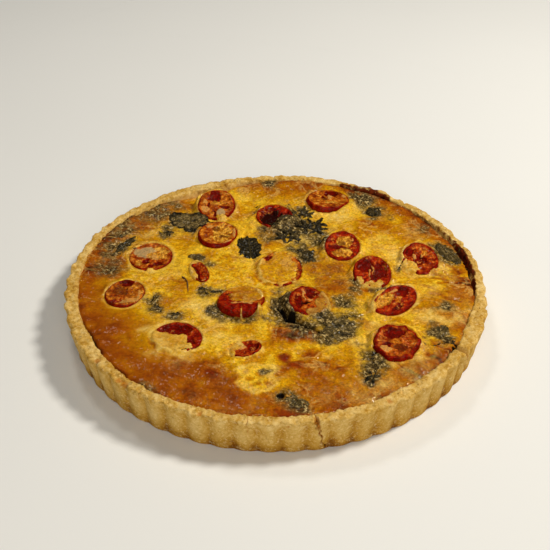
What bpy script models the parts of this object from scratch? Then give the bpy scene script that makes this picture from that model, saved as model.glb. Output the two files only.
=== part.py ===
"""A round, fluted quiche: a baked shortcrust case filled with set custard, with tomato slices and
green leaves sunk into its top.

Units are metres. The origin is the middle of the underside, +Z is up and -Y is the front of the quiche.
"""

import math

import bmesh
import bpy
from mathutils import Matrix, Vector

MM = 0.001
GAP = 0.3 * MM  # clearance between pieces that touch in the real thing

# Pastry case
CRUST_TOP_RADIUS = 138 * MM  # to the crests of the flutes, at the rim
CRUST_BASE_RADIUS = 133.8 * MM
CRUST_HEIGHT = 25.2 * MM
CRUST_FLOOR = 4 * MM
RIM_WIDTH = 7 * MM
EDGE_ROUND = 1.4 * MM
FLUTES = 62
FLUTE_DEPTH = 1.9 * MM
FLUTE_VALLEY = math.radians(-88.7)  # direction of one of the valleys between flutes
POINTS_PER_FLUTE = 4
INNER_FLOOR_RADIUS = 127 * MM
INNER_TOP_RADIUS = CRUST_TOP_RADIUS - RIM_WIDTH
# The rim dips and rises gently: (waves round the case, height, phase)
RIM_WAVES = ((2, 0.35 * MM, 0.6), (5, 0.25 * MM, 2.1), (9, 0.15 * MM, 4.0))

# Custard filling
FILLING_LEVEL = 22.6 * MM
FILLING_CELLS = 20  # across the filling's top
SIDE_GAP = 0.6 * MM
# Broad swellings and hollows of the baked top, in mm: (x, y, radius, height)
SWELLS = (
    (-70, -85, 42, 1.5),
    (-15, -98, 30, 1.2),
    (40, -98, 34, 1.4),
    (88, -80, 26, 1.2),
    (112, -12, 30, 1.5),
    (70, 60, 30, 1.3),
    (15, 112, 26, 0.6),
    (-52, 116, 26, -3.4),
    (-95, 70, 30, -0.8),
    (-35, 10, 34, 1.2),
    (35, -20, 28, 1.2),
    (9, -40, 9, -2.4),
)

# Tomato slices, cut across small round tomatoes and baked into the top, in mm and degrees.
# x, y and top: middle of the cut face; stretch: length over width; heading: direction of the length;
# tilt: how far the face leans; facing: the direction that it leans towards.
SLICE_THICKNESS = 8 * MM
SLICE_SIDES = 18
SLICE_WOBBLE = 0.02
SLICE_PROFILE = (
    # (share of the radius, height below the cut face's edge)
    (0.82, -SLICE_THICKNESS),
    (1.0, -SLICE_THICKNESS / 2),
    (0.94, -0.3 * MM),
    (0.72, -1.5 * MM),
)
SLICES = {
    # name: (x, y, top, radius, stretch, heading, tilt, facing)
    "tomato_slice_01": (-44, 91, 27.0, 14.0, 1.05, 90, 16, -90),
    "tomato_slice_02": (-41, 51, 27.2, 13.8, 1.02, 90, 3, -90),
    "tomato_slice_03": (-1, 77, 25.6, 13.4, 1.05, 100, 4, -90),
    "tomato_slice_04": (39, 101, 25.8, 15.4, 1.02, 20, 6, 60),
    "tomato_slice_05": (46, 36, 26.6, 12.2, 1.15, 80, 13, -90),
    "tomato_slice_06": (-86, 27, 23.8, 14.8, 1.03, 110, 4, -90),
    "tomato_slice_07": (-98, -16, 24.6, 12.6, 1.05, 60, 3, -90),
    "tomato_slice_08": (-51, 7, 25.2, 12.0, 2.2, 110, 6, -150),
    "tomato_slice_09": (3, 11, 24.6, 14.6, 1.2, 95, 5, -90),
    "tomato_slice_10": (-22, -26, 27.0, 14.4, 1.05, 20, 5, 90),
    "tomato_slice_11": (21, -27, 26.4, 12.8, 1.1, 90, 8, -20),
    "tomato_slice_12": (64, 4, 26.6, 12.6, 1.2, 90, 12, -90),
    "tomato_slice_13": (98, 21, 26.2, 12.4, 1.2, 90, 12, -90),
    "tomato_slice_14": (76, -26, 26.4, 17.5, 1.7, 42, 10, -60),
    "tomato_slice_15": (72, -69, 27.2, 13.8, 1.04, 80, 7, -100),
    "tomato_slice_16": (-60, -61, 24.4, 14.8, 1.06, 120, 4, 60),
    "tomato_slice_17": (-18, -72, 24.4, 7.6, 1.25, 20, 8, 150),
}
NARROW_SLICE = 1.5  # from this stretch on, the radius is half the length and not half the width

# Wilted leaves and parsley leaflets that lie on the custard, in mm and degrees.
# x, y and top: middle of the upper face; heading: direction of the length; lobes: points of the outline.
LEAF_THICKNESS = 2.4 * MM
LEAF_SIDES = 16
LOBE_DEPTH = {3: 0.07, 5: 0.16}  # by the number of lobes
LEAF_PROFILE = (
    # (share of the width, height below the upper face)
    (0.93, -LEAF_THICKNESS),
    (1.0, -LEAF_THICKNESS / 2),
    (0.9, 0.0),
)
LEAVES = {
    # name: (x, y, top, length, width, lobes, heading, tilt, facing)
    "leaf_piece_01": (-18, 37, 25.6, 27, 16, 3, 95, 7, -90),
    "leaf_piece_02": (72, 85, 25.2, 17, 11.5, 3, 85, 5, -90),
    "leaf_piece_03": (-66, 74, 24.4, 29, 21, 3, 145, 5, -90),
    "leaf_piece_04": (-105, 43, 24.2, 26, 9, 3, 60, 6, -60),
    "leaf_piece_05": (119, 30, 24.8, 24, 11, 3, 115, 6, -110),
    "leaf_piece_06": (22, 27, 25.0, 17, 10, 3, 85, 6, -90),
    "leaf_piece_07": (103, -56, 25.0, 20, 11, 3, 100, 5, -90),
    "leaf_piece_08": (40, -53, 25.8, 24, 17, 3, 50, 6, -90),
    "leaf_piece_09": (56, -97, 25.0, 17, 10, 3, 70, 5, -90),
    "leaf_piece_10": (11, -117, 24.4, 18, 9, 3, 135, 4, -90),
    "leaf_piece_11": (-54, 25, 25.0, 12, 9, 3, 170, 5, -90),
    "parsley_leaf_01": (20, 84, 25.8, 14, 11, 5, 80, 5, -90),
    "parsley_leaf_02": (27, 65, 26.0, 20, 16, 5, 60, 6, -90),
    "parsley_leaf_03": (9, 53, 25.8, 18, 12, 5, 80, 5, -90),
}

ROOM_HEIGHT = 20 * MM  # how far the hidden cutters reach above a piece
SHARP_ANGLE = math.radians(40)

COLOURS = {
    "crust": (0.76, 0.56, 0.28),
    "filling": (0.82, 0.45, 0.07),
    "tomato": (0.52, 0.06, 0.02),
    "leaf": (0.08, 0.09, 0.04),
}
ROUGHNESS = {"crust": 0.85, "filling": 0.4, "tomato": 0.3, "leaf": 0.6}


def clear_scene():
    for old in list(bpy.data.objects):
        bpy.data.objects.remove(old)


def material(name):
    """The Principled material of that name, made on its first use."""
    made = bpy.data.materials.get(name)
    if made is None:
        made = bpy.data.materials.new(name)
        made.use_nodes = True
        shader = made.node_tree.nodes["Principled BSDF"]
        shader.inputs["Base Color"].default_value = (*COLOURS[name], 1)
        shader.inputs["Roughness"].default_value = ROUGHNESS[name]
        shader.inputs["Metallic"].default_value = 0
    return made


def add_object(name, body, finish):
    """Links a new object for the bmesh, smooth shaded with its creases kept sharp."""
    mesh = bpy.data.meshes.new(name)
    bmesh.ops.recalc_face_normals(body, faces=body.faces)
    body.to_mesh(mesh)
    body.free()
    mesh.shade_smooth()
    mesh.set_sharp_from_angle(angle=SHARP_ANGLE)
    mesh.materials.append(material(finish))
    made = bpy.data.objects.new(name, mesh)
    bpy.context.scene.collection.objects.link(made)
    return made


def loft(rings):
    """A closed body through the rings of points, which all have the same count, with plain ends."""
    made = bmesh.new()
    loops = [[made.verts.new(point) for point in ring] for ring in rings]
    count = len(loops[0])
    for low, high in zip(loops, loops[1:]):
        for i in range(count):
            j = (i + 1) % count
            made.faces.new((low[i], low[j], high[j], high[i]))
    made.faces.new(reversed(loops[0]))
    made.faces.new(loops[-1])
    return made


def rim_rise(angle):
    """How far the rim stands above its mean height in that direction."""
    return sum(height * math.sin(waves * angle + phase) for waves, height, phase in RIM_WAVES)


def flute(angle):
    """0 in the valleys between the flutes and 1 on their rounded crests."""
    return abs(math.sin(FLUTES * (angle - FLUTE_VALLEY) / 2))


def make_crust():
    """The case is one body: up its fluted outside, over the rim, and down its plain inside."""
    count = FLUTES * POINTS_PER_FLUTE
    angles = [FLUTE_VALLEY + 2 * math.pi * i / count for i in range(count)]

    def ring(radius, depth, height, rise):
        points = []
        for angle in angles:
            r = radius - depth * (1 - flute(angle))
            points.append(Vector((r * math.cos(angle), r * math.sin(angle), height + rise * rim_rise(angle))))
        return points

    case = loft(
        (
            ring(CRUST_BASE_RADIUS - EDGE_ROUND, FLUTE_DEPTH / 2, 0, 0),
            ring(CRUST_BASE_RADIUS, FLUTE_DEPTH, EDGE_ROUND, 0),
            ring(CRUST_TOP_RADIUS, FLUTE_DEPTH, CRUST_HEIGHT - EDGE_ROUND, 1),
            ring(CRUST_TOP_RADIUS - EDGE_ROUND, FLUTE_DEPTH / 2, CRUST_HEIGHT, 1),
            ring(INNER_TOP_RADIUS, 0, CRUST_HEIGHT - EDGE_ROUND / 2, 1),
            ring(INNER_FLOOR_RADIUS, 0, CRUST_FLOOR, 0),
        )
    )
    return add_object("crust", case, "crust")


def filling_height(x, y):
    height = FILLING_LEVEL
    for cx, cy, radius, rise in SWELLS:
        distance = math.hypot(x - cx * MM, y - cy * MM) / (radius * MM)
        height += rise * MM * math.exp(-(distance**2))
    return height


def inner_radius(height):
    """The radius of the case's inside at that height."""
    share = (height - CRUST_FLOOR) / (CRUST_HEIGHT - CRUST_FLOOR)
    return INNER_FLOOR_RADIUS + share * (INNER_TOP_RADIUS - INNER_FLOOR_RADIUS)


def on_disc(u, v):
    """Maps the square from -1 to 1 onto the unit disc with nearly even cells."""
    if u == 0 and v == 0:
        return 0.0, 0.0
    if abs(u) > abs(v):
        radius, angle = u, math.pi / 4 * v / u
    else:
        radius, angle = v, math.pi / 2 - math.pi / 4 * u / v
    return radius * math.cos(angle), radius * math.sin(angle)


def make_filling():
    """The custard fills the case up to an uneven top."""
    made = bmesh.new()
    cells = FILLING_CELLS
    radius = inner_radius(FILLING_LEVEL) - SIDE_GAP
    grid = {}
    for i in range(cells + 1):
        for j in range(cells + 1):
            x, y = on_disc(2 * i / cells - 1, 2 * j / cells - 1)
            x, y = x * radius, y * radius
            grid[i, j] = made.verts.new((x, y, filling_height(x, y)))
    for i in range(cells):
        for j in range(cells):
            made.faces.new((grid[i, j], grid[i + 1, j], grid[i + 1, j + 1], grid[i, j + 1]))
    edge = [grid[i, 0] for i in range(cells)]
    edge += [grid[cells, j] for j in range(cells)]
    edge += [grid[i, cells] for i in range(cells, 0, -1)]
    edge += [grid[0, j] for j in range(cells, 0, -1)]
    share = (INNER_FLOOR_RADIUS - SIDE_GAP) / radius
    bottom = [made.verts.new((v.co.x * share, v.co.y * share, CRUST_FLOOR + GAP)) for v in edge]
    for i, low in enumerate(bottom):
        j = (i + 1) % len(bottom)
        made.faces.new((low, bottom[j], edge[j], edge[i]))
    made.faces.new(reversed(bottom))
    return add_object("filling", made, "filling")


def placed(x, y, top, heading, tilt, facing):
    """The matrix that puts a piece's upper face at the place, turned to its heading and then tilted."""
    lean_axis = Matrix.Rotation(math.radians(facing), 3, "Z") @ Vector((0, 1, 0))
    lean = Matrix.Rotation(math.radians(tilt), 4, lean_axis)
    turn = Matrix.Rotation(math.radians(heading), 4, "Z")
    return Matrix.Translation(Vector((x, y, top)) * MM) @ lean @ turn


def outline(sides, half_length, half_width, height, lobes, depth):
    """A ring of points round an oval with its long way along X, swelling and shrinking in lobes."""
    points = []
    for i in range(sides):
        angle = 2 * math.pi * i / sides
        swing = 1 + depth * math.sin(lobes * angle + 1.1)
        x, y = half_length * swing * math.cos(angle), half_width * swing * math.sin(angle)
        points.append(Vector((x, y, height)))
    return points


def sunk_piece(name, finish, sides, half_length, half_width, lobes, depth, profile, matrix):
    """A thin piece with the profile's side. Returns the hidden cutter that makes its room."""

    def ring(share, height):
        return outline(sides, half_length * share, half_width * share, height, lobes, depth)

    piece = add_object(name, loft([ring(share, height) for share, height in profile]), finish)
    piece.matrix_world = matrix
    room_shape = (
        outline(sides, half_length + 2 * GAP, half_width + 2 * GAP, profile[0][1] - GAP, lobes, depth),
        outline(sides, half_length + 2 * GAP, half_width + 2 * GAP, ROOM_HEIGHT, lobes, depth),
    )
    room = add_object(name + "_room", loft(room_shape), "filling")
    room.matrix_world = matrix
    room.hide_render = True
    room.display_type = "WIRE"
    return room


def make_slice(name, x, y, top, radius, stretch, heading, tilt, facing):
    """A tomato slice with a rounded skin side and a dished cut face."""
    if stretch < NARROW_SLICE:
        half_length, half_width = radius * stretch * MM, radius * MM
    else:
        half_length, half_width = radius * MM, radius / stretch * MM
    matrix = placed(x, y, top, heading, tilt, facing)
    return sunk_piece(
        name, "tomato", SLICE_SIDES, half_length, half_width, 3, SLICE_WOBBLE, SLICE_PROFILE, matrix
    )


def make_leaf(name, x, y, top, length, width, lobes, heading, tilt, facing):
    """A leaf or a leaflet with a lobed outline."""
    matrix = placed(x, y, top, heading, tilt, facing)
    depth = LOBE_DEPTH[lobes]
    return sunk_piece(
        name, "leaf", LEAF_SIDES, length / 2 * MM, width / 2 * MM, lobes, depth, LEAF_PROFILE, matrix
    )


def main():
    clear_scene()
    make_crust()
    filling = make_filling()
    rooms = [make_slice(name, *numbers) for name, numbers in SLICES.items()]
    rooms += [make_leaf(name, *numbers) for name, numbers in LEAVES.items()]
    for room in rooms:
        cut = filling.modifiers.new(room.name, "BOOLEAN")
        cut.operation = "DIFFERENCE"
        cut.object = room


main()
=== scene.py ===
"""The looks of the quiche: its crumbly fluted case, the browned and blistered custard, the roasted tomato
slices, the wilted leaves and herbs, and a plain studio round it.

Lengths in this script are millimetres, and they become metres where a mesh is made.
"""

import math

import bmesh
import bpy
import numpy as np
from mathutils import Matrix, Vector
from mathutils.bvhtree import BVHTree


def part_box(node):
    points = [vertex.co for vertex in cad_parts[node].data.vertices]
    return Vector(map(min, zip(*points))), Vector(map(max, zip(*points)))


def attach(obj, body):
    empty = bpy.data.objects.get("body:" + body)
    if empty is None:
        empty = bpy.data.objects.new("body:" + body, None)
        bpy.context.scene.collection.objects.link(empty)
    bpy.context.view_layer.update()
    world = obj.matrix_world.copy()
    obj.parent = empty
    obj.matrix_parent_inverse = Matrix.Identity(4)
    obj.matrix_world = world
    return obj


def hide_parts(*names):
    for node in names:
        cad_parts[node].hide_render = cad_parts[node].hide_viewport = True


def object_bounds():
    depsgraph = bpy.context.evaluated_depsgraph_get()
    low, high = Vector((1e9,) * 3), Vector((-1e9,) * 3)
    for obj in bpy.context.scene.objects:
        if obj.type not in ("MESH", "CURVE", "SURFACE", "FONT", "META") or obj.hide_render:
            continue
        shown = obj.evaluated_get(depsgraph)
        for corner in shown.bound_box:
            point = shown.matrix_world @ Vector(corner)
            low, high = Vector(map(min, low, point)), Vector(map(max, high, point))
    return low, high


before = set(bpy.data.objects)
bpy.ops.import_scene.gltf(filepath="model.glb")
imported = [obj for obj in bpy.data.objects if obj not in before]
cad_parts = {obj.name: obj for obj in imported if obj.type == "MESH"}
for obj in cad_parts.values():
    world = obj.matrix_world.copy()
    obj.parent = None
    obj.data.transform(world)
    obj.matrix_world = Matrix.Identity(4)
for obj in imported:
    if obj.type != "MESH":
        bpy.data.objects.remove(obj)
cad_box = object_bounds()

MM = 0.001
UP = np.array((0.0, 0.0, 1.0))


# ---------------------------------------------------------------------------------------------------------
# Sizes and places, in millimetres and degrees, in the frame of the CAD model
# ---------------------------------------------------------------------------------------------------------

CASE_BASE_RADIUS = 134.5
RIM_WIDTH = 7.0
INNER_FLOOR_RADIUS = 127.0
CASE_FLOOR = 4.0
FLUTES = 62
FLUTE_DEPTH = 1.9
FLUTE_VALLEY = -88.7
COLUMNS = 1240

CUSTARD_LEVEL = 22.6
CUSTARD_CELLS = 304
SLICE_AROUND = 96
SLICE_RINGS = 34

# Cracks through the case: (height, direction) down the wall, half width in mm, depth and how dark it is: browner
# inside, and near black as painted shade where it is 1
CASE_CRACKS = (
    (((27, -80.1), (24, -81.1), (21.5, -80.0), (19.5, -80.9), (17.5, -79.6), (14, -79.9), (10.5, -79.0),
      (7, -79.3), (4, -78.3), (0, -78.1)), 0.34, 3.4, 1.0),
    (((27, -96.9), (25, -96.5), (23, -96.9), (21, -96.3), (19, -96.8), (17, -96.5)), 0.3, 0.7, 0.25),
    (((27, -124.4), (24, -124.9), (20.5, -124.6)), 0.3, 0.6, 0.2),
    (((27, -33.8), (20, -33.0), (14, -33.8), (8, -33.0), (0, -33.4)), 0.6, 3.0, 1.0),
    (((27, -172.0), (24, -171.2), (21, -171.8)), 0.3, 0.7, 0.3), (((27, 66.0), (23, 65.2)), 0.6, 1.6, 0.6),
)
# Chips knocked out of the rim: (direction, height, half width in mm, half height, depth)
CASE_CHIPS = (
    (-80.6, 24.0, 1.6, 2.6, 2.4),
    (-80.2, 20.2, 1.1, 2.6, 1.8),
    (-87.2, 22.0, 0.9, 0.7, 0.9),
    (-129.6, 24.2, 2.8, 2.6, 1.3),
    (-131.6, 25.2, 1.6, 1.2, 0.9),
    (-108.0, 25.6, 1.6, 0.8, 0.6),
    (-141.0, 25.4, 2.0, 1.0, 0.7),
    (-62.0, 25.6, 1.8, 0.9, 0.6),
    (152.0, 25.2, 2.2, 1.4, 1.0),
    (97.0, 25.2, 2.6, 1.6, 1.0),
)
# Rim height, inner edge and outer edge: (direction, half width in degrees, change)
RIM_HEIGHTS = (
    (-33.4, 0.75, -8.5), (-37.0, 3.0, 1.2), (-26.0, 9.0, -1.2), (-10.0, 12.0, -0.5), (56.0, 5.0, 0.8),
    (49.0, 1.2, -1.0), (112.0, 15.0, 0.5), (-130.0, 1.6, -0.7), (170.0, 8.0, 0.3),
)
INNER_EDGES = (
    (112.0, 9.0, -3.4), (124.0, 6.0, -0.8), (152.0, 16.0, 1.8), (-168.0, 9.0, -1.0), (-151.0, 12.0, -2.2),
    (8.0, 9.0, 1.0), (-22.0, 11.0, -3.2), (-50.0, 16.0, -1.4), (50.0, 8.0, 1.2), (84.0, 10.0, 0.6),
)
OUTER_EDGES = (
    (-20.0, 12.0, 1.0), (54.0, 5.0, 1.0), (49.5, 1.2, -1.2), (39.0, 6.0, 1.3), (67.0, 8.0, 1.2),
    (81.0, 7.0, 2.4), (106.0, 11.0, -0.9), (123.0, 6.0, 0.8), (153.0, 13.0, 1.8), (-177.0, 9.0, 0.8),
    (-150.0, 16.0, 0.7),
)

# The custard's swells, the same as in the CAD model, and its small blisters and hollows: (x, y, radius, height)
SWELLS = (
    (-70, -85, 42, 1.5), (-15, -98, 30, 1.2), (40, -98, 34, 1.4), (88, -80, 26, 1.2), (112, -12, 30, 1.5),
    (70, 60, 30, 1.3), (15, 112, 26, 0.6), (-52, 116, 26, -3.4), (-95, 70, 30, -0.8), (-35, 10, 34, 1.2),
    (35, -20, 28, 1.2), (9, -40, 9, -2.4),
)
# How far the custard creeps up at its edge: (direction, half width in degrees, height)
CUSTARD_EDGES = (
    (76.0, 20.0, 2.2), (44.0, 12.0, 1.6), (152.0, 18.0, 1.9), (172.0, 8.0, 0.6), (18.0, 10.0, 0.4),
    (-60.0, 30.0, 0.5),
)
# Gaps between the custard and the case, painted dark as shade: (direction, half width in degrees, width in mm)
EDGE_GAPS = (
    (-152.0, 6.0, 1.7), (4.0, 8.0, 2.2), (13.0, 4.0, 1.6), (-135.0, 3.0, 0.8), (26.0, 4.0, 0.8),
    (-34.0, 2.0, 1.5),
)
# Fine folds in the custard's skin: (x, y, radius, direction of the folds, height)
WRINKLES = (
    (114, 10, 15, 8, 1.0), (92, -84, 18, -42, 0.9), (110, -18, 12, -10, 0.8), (-28, 10, 12, 60, 0.3),
    (72, 34, 12, 20, 0.35), (-8, 100, 14, -70, 0.35), (55, 78, 12, 60, 0.3), (-60, 45, 12, 10, 0.35),
    (30, -105, 16, -15, 0.6), (-35, -72, 12, -35, 0.35), (-75, -10, 10, 70, 0.25), (60, -45, 10, 30, 0.35),
)
# Where the skin is smoother, or rougher where the share is below 0: (x, y, radius, share)
SKIN = (
    (-112, -40, 26, 0.8), (-96, -66, 26, 0.8), (-78, -92, 24, 0.8), (-50, -104, 24, 0.7),
    (-24, -122, 18, 0.6), (-120, -10, 16, 0.6), (-90, -40, 16, 0.6), (-100, 76, 20, -0.8),
    (-114, 44, 18, -0.8), (-80, 94, 14, -0.6), (12, -50, 16, -0.5), (36, 10, 16, -0.5),
)
BLISTERS = (
    (5, -79, 4.5, 0.9), (12, -88, 6, 0.8), (14, -52, 7, 1.5), (4, -52, 5, 1.0), (24, -57, 5, 1.2),
    (-22, -100, 7, 0.8), (-10, -106, 6, 0.7), (-24, -92, 5, 0.6), (-8, -95, 4, -0.7), (-62, -22, 7, 0.6),
    (-68, -64, 13, 0.8), (18, 49, 8, 1.6), (110, -18, 7, 0.8), (95, -18, 8, 0.6), (108, -45, 6, 0.7),
    (98, -44, 5, 0.6), (92, -70, 5, 0.9), (84, -86, 6, 0.8), (100, -76, 5, 0.6), (66, -93, 5, 0.8),
    (-35, -92, 9, 0.5), (-44, -102, 6, -0.5), (-22, -41, 9, -1.3), (-46, 35, 6, -0.6), (40, 84, 9, -0.8),
    (-30, 60, 6, 0.5), (60, 60, 7, 0.6), (72, 48, 6, -0.4), (50, -10, 9, 0.8), (42, 8, 8, 0.6),
    (30, 12, 7, 0.5), (88, 12, 6, -1.0), (-57, -12, 5, 0.4), (-98, 92, 7, -0.6), (-80, 96, 9, 0.6),
    (48, 116, 5, 0.8), (-20, 120, 7, 0.6), (0, 118, 9, 0.5), (-112, 0, 7, 0.5), (-100, -45, 9, 0.5),
)
# Holes, their bottoms painted black as shade: (x, y, radius, depth)
HOLES = (
    (9, -40, 4.2, 3.0), (2.5, -112, 2.8, 3.0), (108, -70, 2.4, 3.0), (71, -14, 1.6, 1.6), (52, -2, 1.6, 1.4),
    (57, -84, 1.0, 1.2), (26, -55, 1.6, 2.0), (2, -31, 2.0, 1.6),
)
# Cracks in the custard, as lines of (x, y), each with the half width and the depth
CUSTARD_CRACKS = (
    (((3, -30), (5, -36), (9, -41), (15, -46), (21, -51), (26, -56)), 1.5, 3.2),
    (((2, -50), (8, -49), (14, -51)), 1.0, 1.5),
    (((114, -69), (109, -67), (104, -65.5), (99, -66.5), (95, -69.5), (90, -68.5), (86.5, -64.5)), 0.8, 1.8),
    (((90, 26), (88, 21), (85, 17), (82, 12)), 0.5, 1.2),
    (((-46, -68), (-49, -72), (-56, -75)), 0.5, 0.8),
    (((58, -72), (60, -77), (57, -79)), 0.7, 1.0),
)
# Burnt spill along the case's inner edge, as lines of (x, y), each with the half width and the amount
CASE_BURNS = (
    (((50, 122), (56, 120), (63, 116)), 1.8, 0.9),
    (((61, 117), (69, 112), (77, 106), (82, 101)), 4.4, 1.15),
    (((62, 122), (69, 118), (76, 113)), 1.6, 0.8),
    (((86, 98), (96, 90), (106, 77), (114, 65), (121, 51), (125, 42)), 0.9, 0.5),
    (((125, 42), (128.5, 30), (130, 18), (131, 6)), 2.2, 1.0),
    (((131, 6), (130.5, -6), (127, -20)), 1.5, 0.8),
    (((131, 25), (135, 23)), 1.0, 0.8),
    (((-100, 84), (-112, 68), (-121, 50), (-126, 34)), 0.8, 0.4),
)
# Patches of colour on the custard: (x, y, radius, amount). Browning goes from 0 for yellow over 0.5 for amber
# and 1 for dark brown to 1.3 for burnt
BROWNING = (
    (-122, -12, 15, 0.62), (-118, -32, 16, 0.62), (-110, -48, 16, 0.68), (-97, -52, 14, 0.66),
    (-108, -66, 16, 0.64), (-95, -72, 16, 0.6), (-96, -86, 16, 0.62), (-80, -88, 18, 0.6),
    (-78, -100, 16, 0.62), (-62, -94, 15, 0.66), (-50, -90, 13, 0.7), (-60, -110, 16, 0.64),
    (-38, -92, 12, 0.66), (-42, -112, 16, 0.7), (-22, -118, 15, 0.68), (-4, -122, 14, 0.64),
    (-28, -104, 10, 0.64), (16, -104, 12, 0.5), (30, -108, 16, 0.6), (50, -112, 15, 0.62),
    (68, -104, 14, 0.58), (82, -96, 13, 0.66), (95, -84, 12, 0.62), (104, -72, 9, 0.58),
    (34, -122, 14, 0.66), (12, -128, 12, 0.66), (24, -93, 13, 0.42), (38, -90, 12, 0.36), (75, -88, 10, 0.5),
    (120, -18, 12, 0.62), (112, -34, 11, 0.5), (118, -50, 11, 0.58), (127, -6, 9, 0.56), (129, 12, 8, 0.6),
    (104, -24, 11, 0.35), (104, -48, 10, 0.4), (90, -26, 8, 0.3), (126, 32, 9, 0.6), (96, 4, 9, 0.14),
    (86, 98, 14, 0.66), (95, 88, 12, 0.68), (104, 78, 12, 0.74), (112, 68, 12, 0.68), (117, 56, 12, 0.62),
    (122, 46, 11, 0.64), (94, 54, 10, 0.48), (82, 62, 10, 0.4), (100, 64, 11, 0.52), (75, 70, 10, 0.32),
    (112, 84, 8, 0.78), (82, 84, 9, 0.36), (98, 99, 8, 0.7), (12, 122, 16, 0.56), (24, 118, 12, 0.5),
    (-6, 124, 13, 0.58), (-20, 124, 8, 0.56), (4, 110, 9, 0.36), (32, 124, 10, 0.52), (48, 124, 8, 0.62),
    (-68, 97, 10, 0.5), (-82, 98, 12, 0.7), (-92, 88, 13, 0.72), (-104, 80, 12, 0.8), (-84, 80, 10, 0.5),
    (-112, 66, 11, 0.92), (-116, 54, 10, 0.95), (-122, 44, 9, 0.92), (-100, 66, 10, 0.66), (-92, 52, 8, 0.4),
    (-118, 30, 10, 0.86), (-110, 20, 10, 0.8), (-120, 14, 11, 0.88), (-108, 6, 8, 0.6), (-124, 4, 9, 0.74),
    (68, 116, 13, 1.0), (58, 120, 9, 0.9), (78, 110, 9, 1.05), (64, 106, 9, 0.6), (14, -55, 7, 0.95),
    (22, -58, 5, 1.05), (6, -57, 7, 0.85), (4, -62, 6, 0.6), (5, -80, 4.5, 0.9), (12, -88, 6, 0.72),
    (3, -92, 6, 0.6), (20, -78, 5, 0.5), (34, -90, 3.5, 0.65), (28, -86, 3, 0.6), (26, -98, 5, 0.6),
    (-37, -97, 6, 0.8), (40, 12, 12, 0.6), (28, 14, 10, 0.5), (38, -6, 11, 0.62), (30, 26, 9, 0.4),
    (50, -12, 8, 0.44), (66, 68, 10, 0.3), (62, 54, 9, 0.22), (-30, 20, 9, 0.12), (-62, -6, 10, 0.36),
    (-60, -22, 5, 0.3), (-70, -25, 6, 0.38), (-14, -80, 9, 0.36), (-8, -72, 8, 0.28), (0, -66, 8, 0.3),
    (-62, 48, 8, 0.22), (-86, 48, 6, 0.34), (-46, 30, 6, 0.22), (-30, 85, 9, 0.36), (-38, 96, 6, 0.25),
    (-16, 84, 8, 0.22), (-4, 60, 8, 0.35), (62, -104, 6, 0.5), (-94, -38, 8, 0.4), (-84, -46, 7, 0.42),
    (78, -46, 6, 0.2), (58, -12, 5, 0.5), (-46, -60, 4, 0.2), (-20, -52, 8, 0.16), (10, 100, 6, 0.2),
    (-8, 44, 6, 0.3),
)
# Small brown spots, also on the pale cheese: (x, y, radius, amount)
SPOTS = (
    (-4, -103, 2.4, 0.6), (-10, -104, 2.2, 0.5), (-9, -95, 3, 0.45), (-15, -100, 2.2, 0.5),
    (-18, -92, 2, 0.35), (-22, -118, 4, 0.2), (-14, -107, 1.6, 0.4), (38, -91, 3, 0.4), (28, -89, 3, 0.35),
    (22, -76, 4, 0.3), (95, 55, 2.2, 0.3), (91, -44, 3, 0.3), (44, -84, 2, 0.2), (55, -46, 4, 0.3),
    (60, -50, 3, 0.25), (-62, -16, 2, 0.2), (-40, 44, 3, 0.15), (-88, 66, 3, 0.3), (34, 2, 3, 0.3),
    (40, -4, 2.5, 0.3), (8, -48, 3, 0.5), (16, -58, 4, 0.5), (8, -60, 4, 0.5), (22, -54, 3, 0.6),
    (2, -54, 3, 0.4),
)
# Brown streaks in the custard's folds, as lines of (x, y), each with the half width and the amount
STREAKS = (
    (((125, 2), (115, 8), (106, 17)), 1.1, 0.5), (((125, 0), (114, 4), (102, 9)), 1.2, 0.55),
    (((126, -3), (114, -1), (103, 2)), 1.1, 0.5), (((125, 8), (118, 15), (112, 24)), 1.0, 0.5),
    (((124, 6), (116, 12), (109, 22)), 0.9, 0.45), (((126, -7), (116, -6), (107, -5)), 1.0, 0.45),
    (((100, 4), (108, 6), (112, 2)), 0.9, 0.4), (((96, 10), (104, 12), (112, 16)), 0.8, 0.4),
    (((112, -16), (104, -14), (96, -8)), 1.0, 0.4), (((118, -24), (108, -22), (99, -18)), 1.0, 0.4),
    (((100, -86), (92, -80), (86, -72)), 1.1, 0.4), (((94, -92), (84, -84), (78, -78)), 1.1, 0.4),
    (((84, -100), (76, -93), (70, -84)), 1.0, 0.35), (((109, -76), (101, -72), (94, -64)), 1.0, 0.35),
    (((68, 40), (78, 36), (86, 38)), 1.0, 0.3), (((56, 74), (64, 72), (72, 66)), 1.0, 0.3),
    (((-70, 2), (-62, -2), (-52, -1)), 1.2, 0.3), (((-40, 22), (-32, 26), (-22, 24)), 1.2, 0.25),
)
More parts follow.
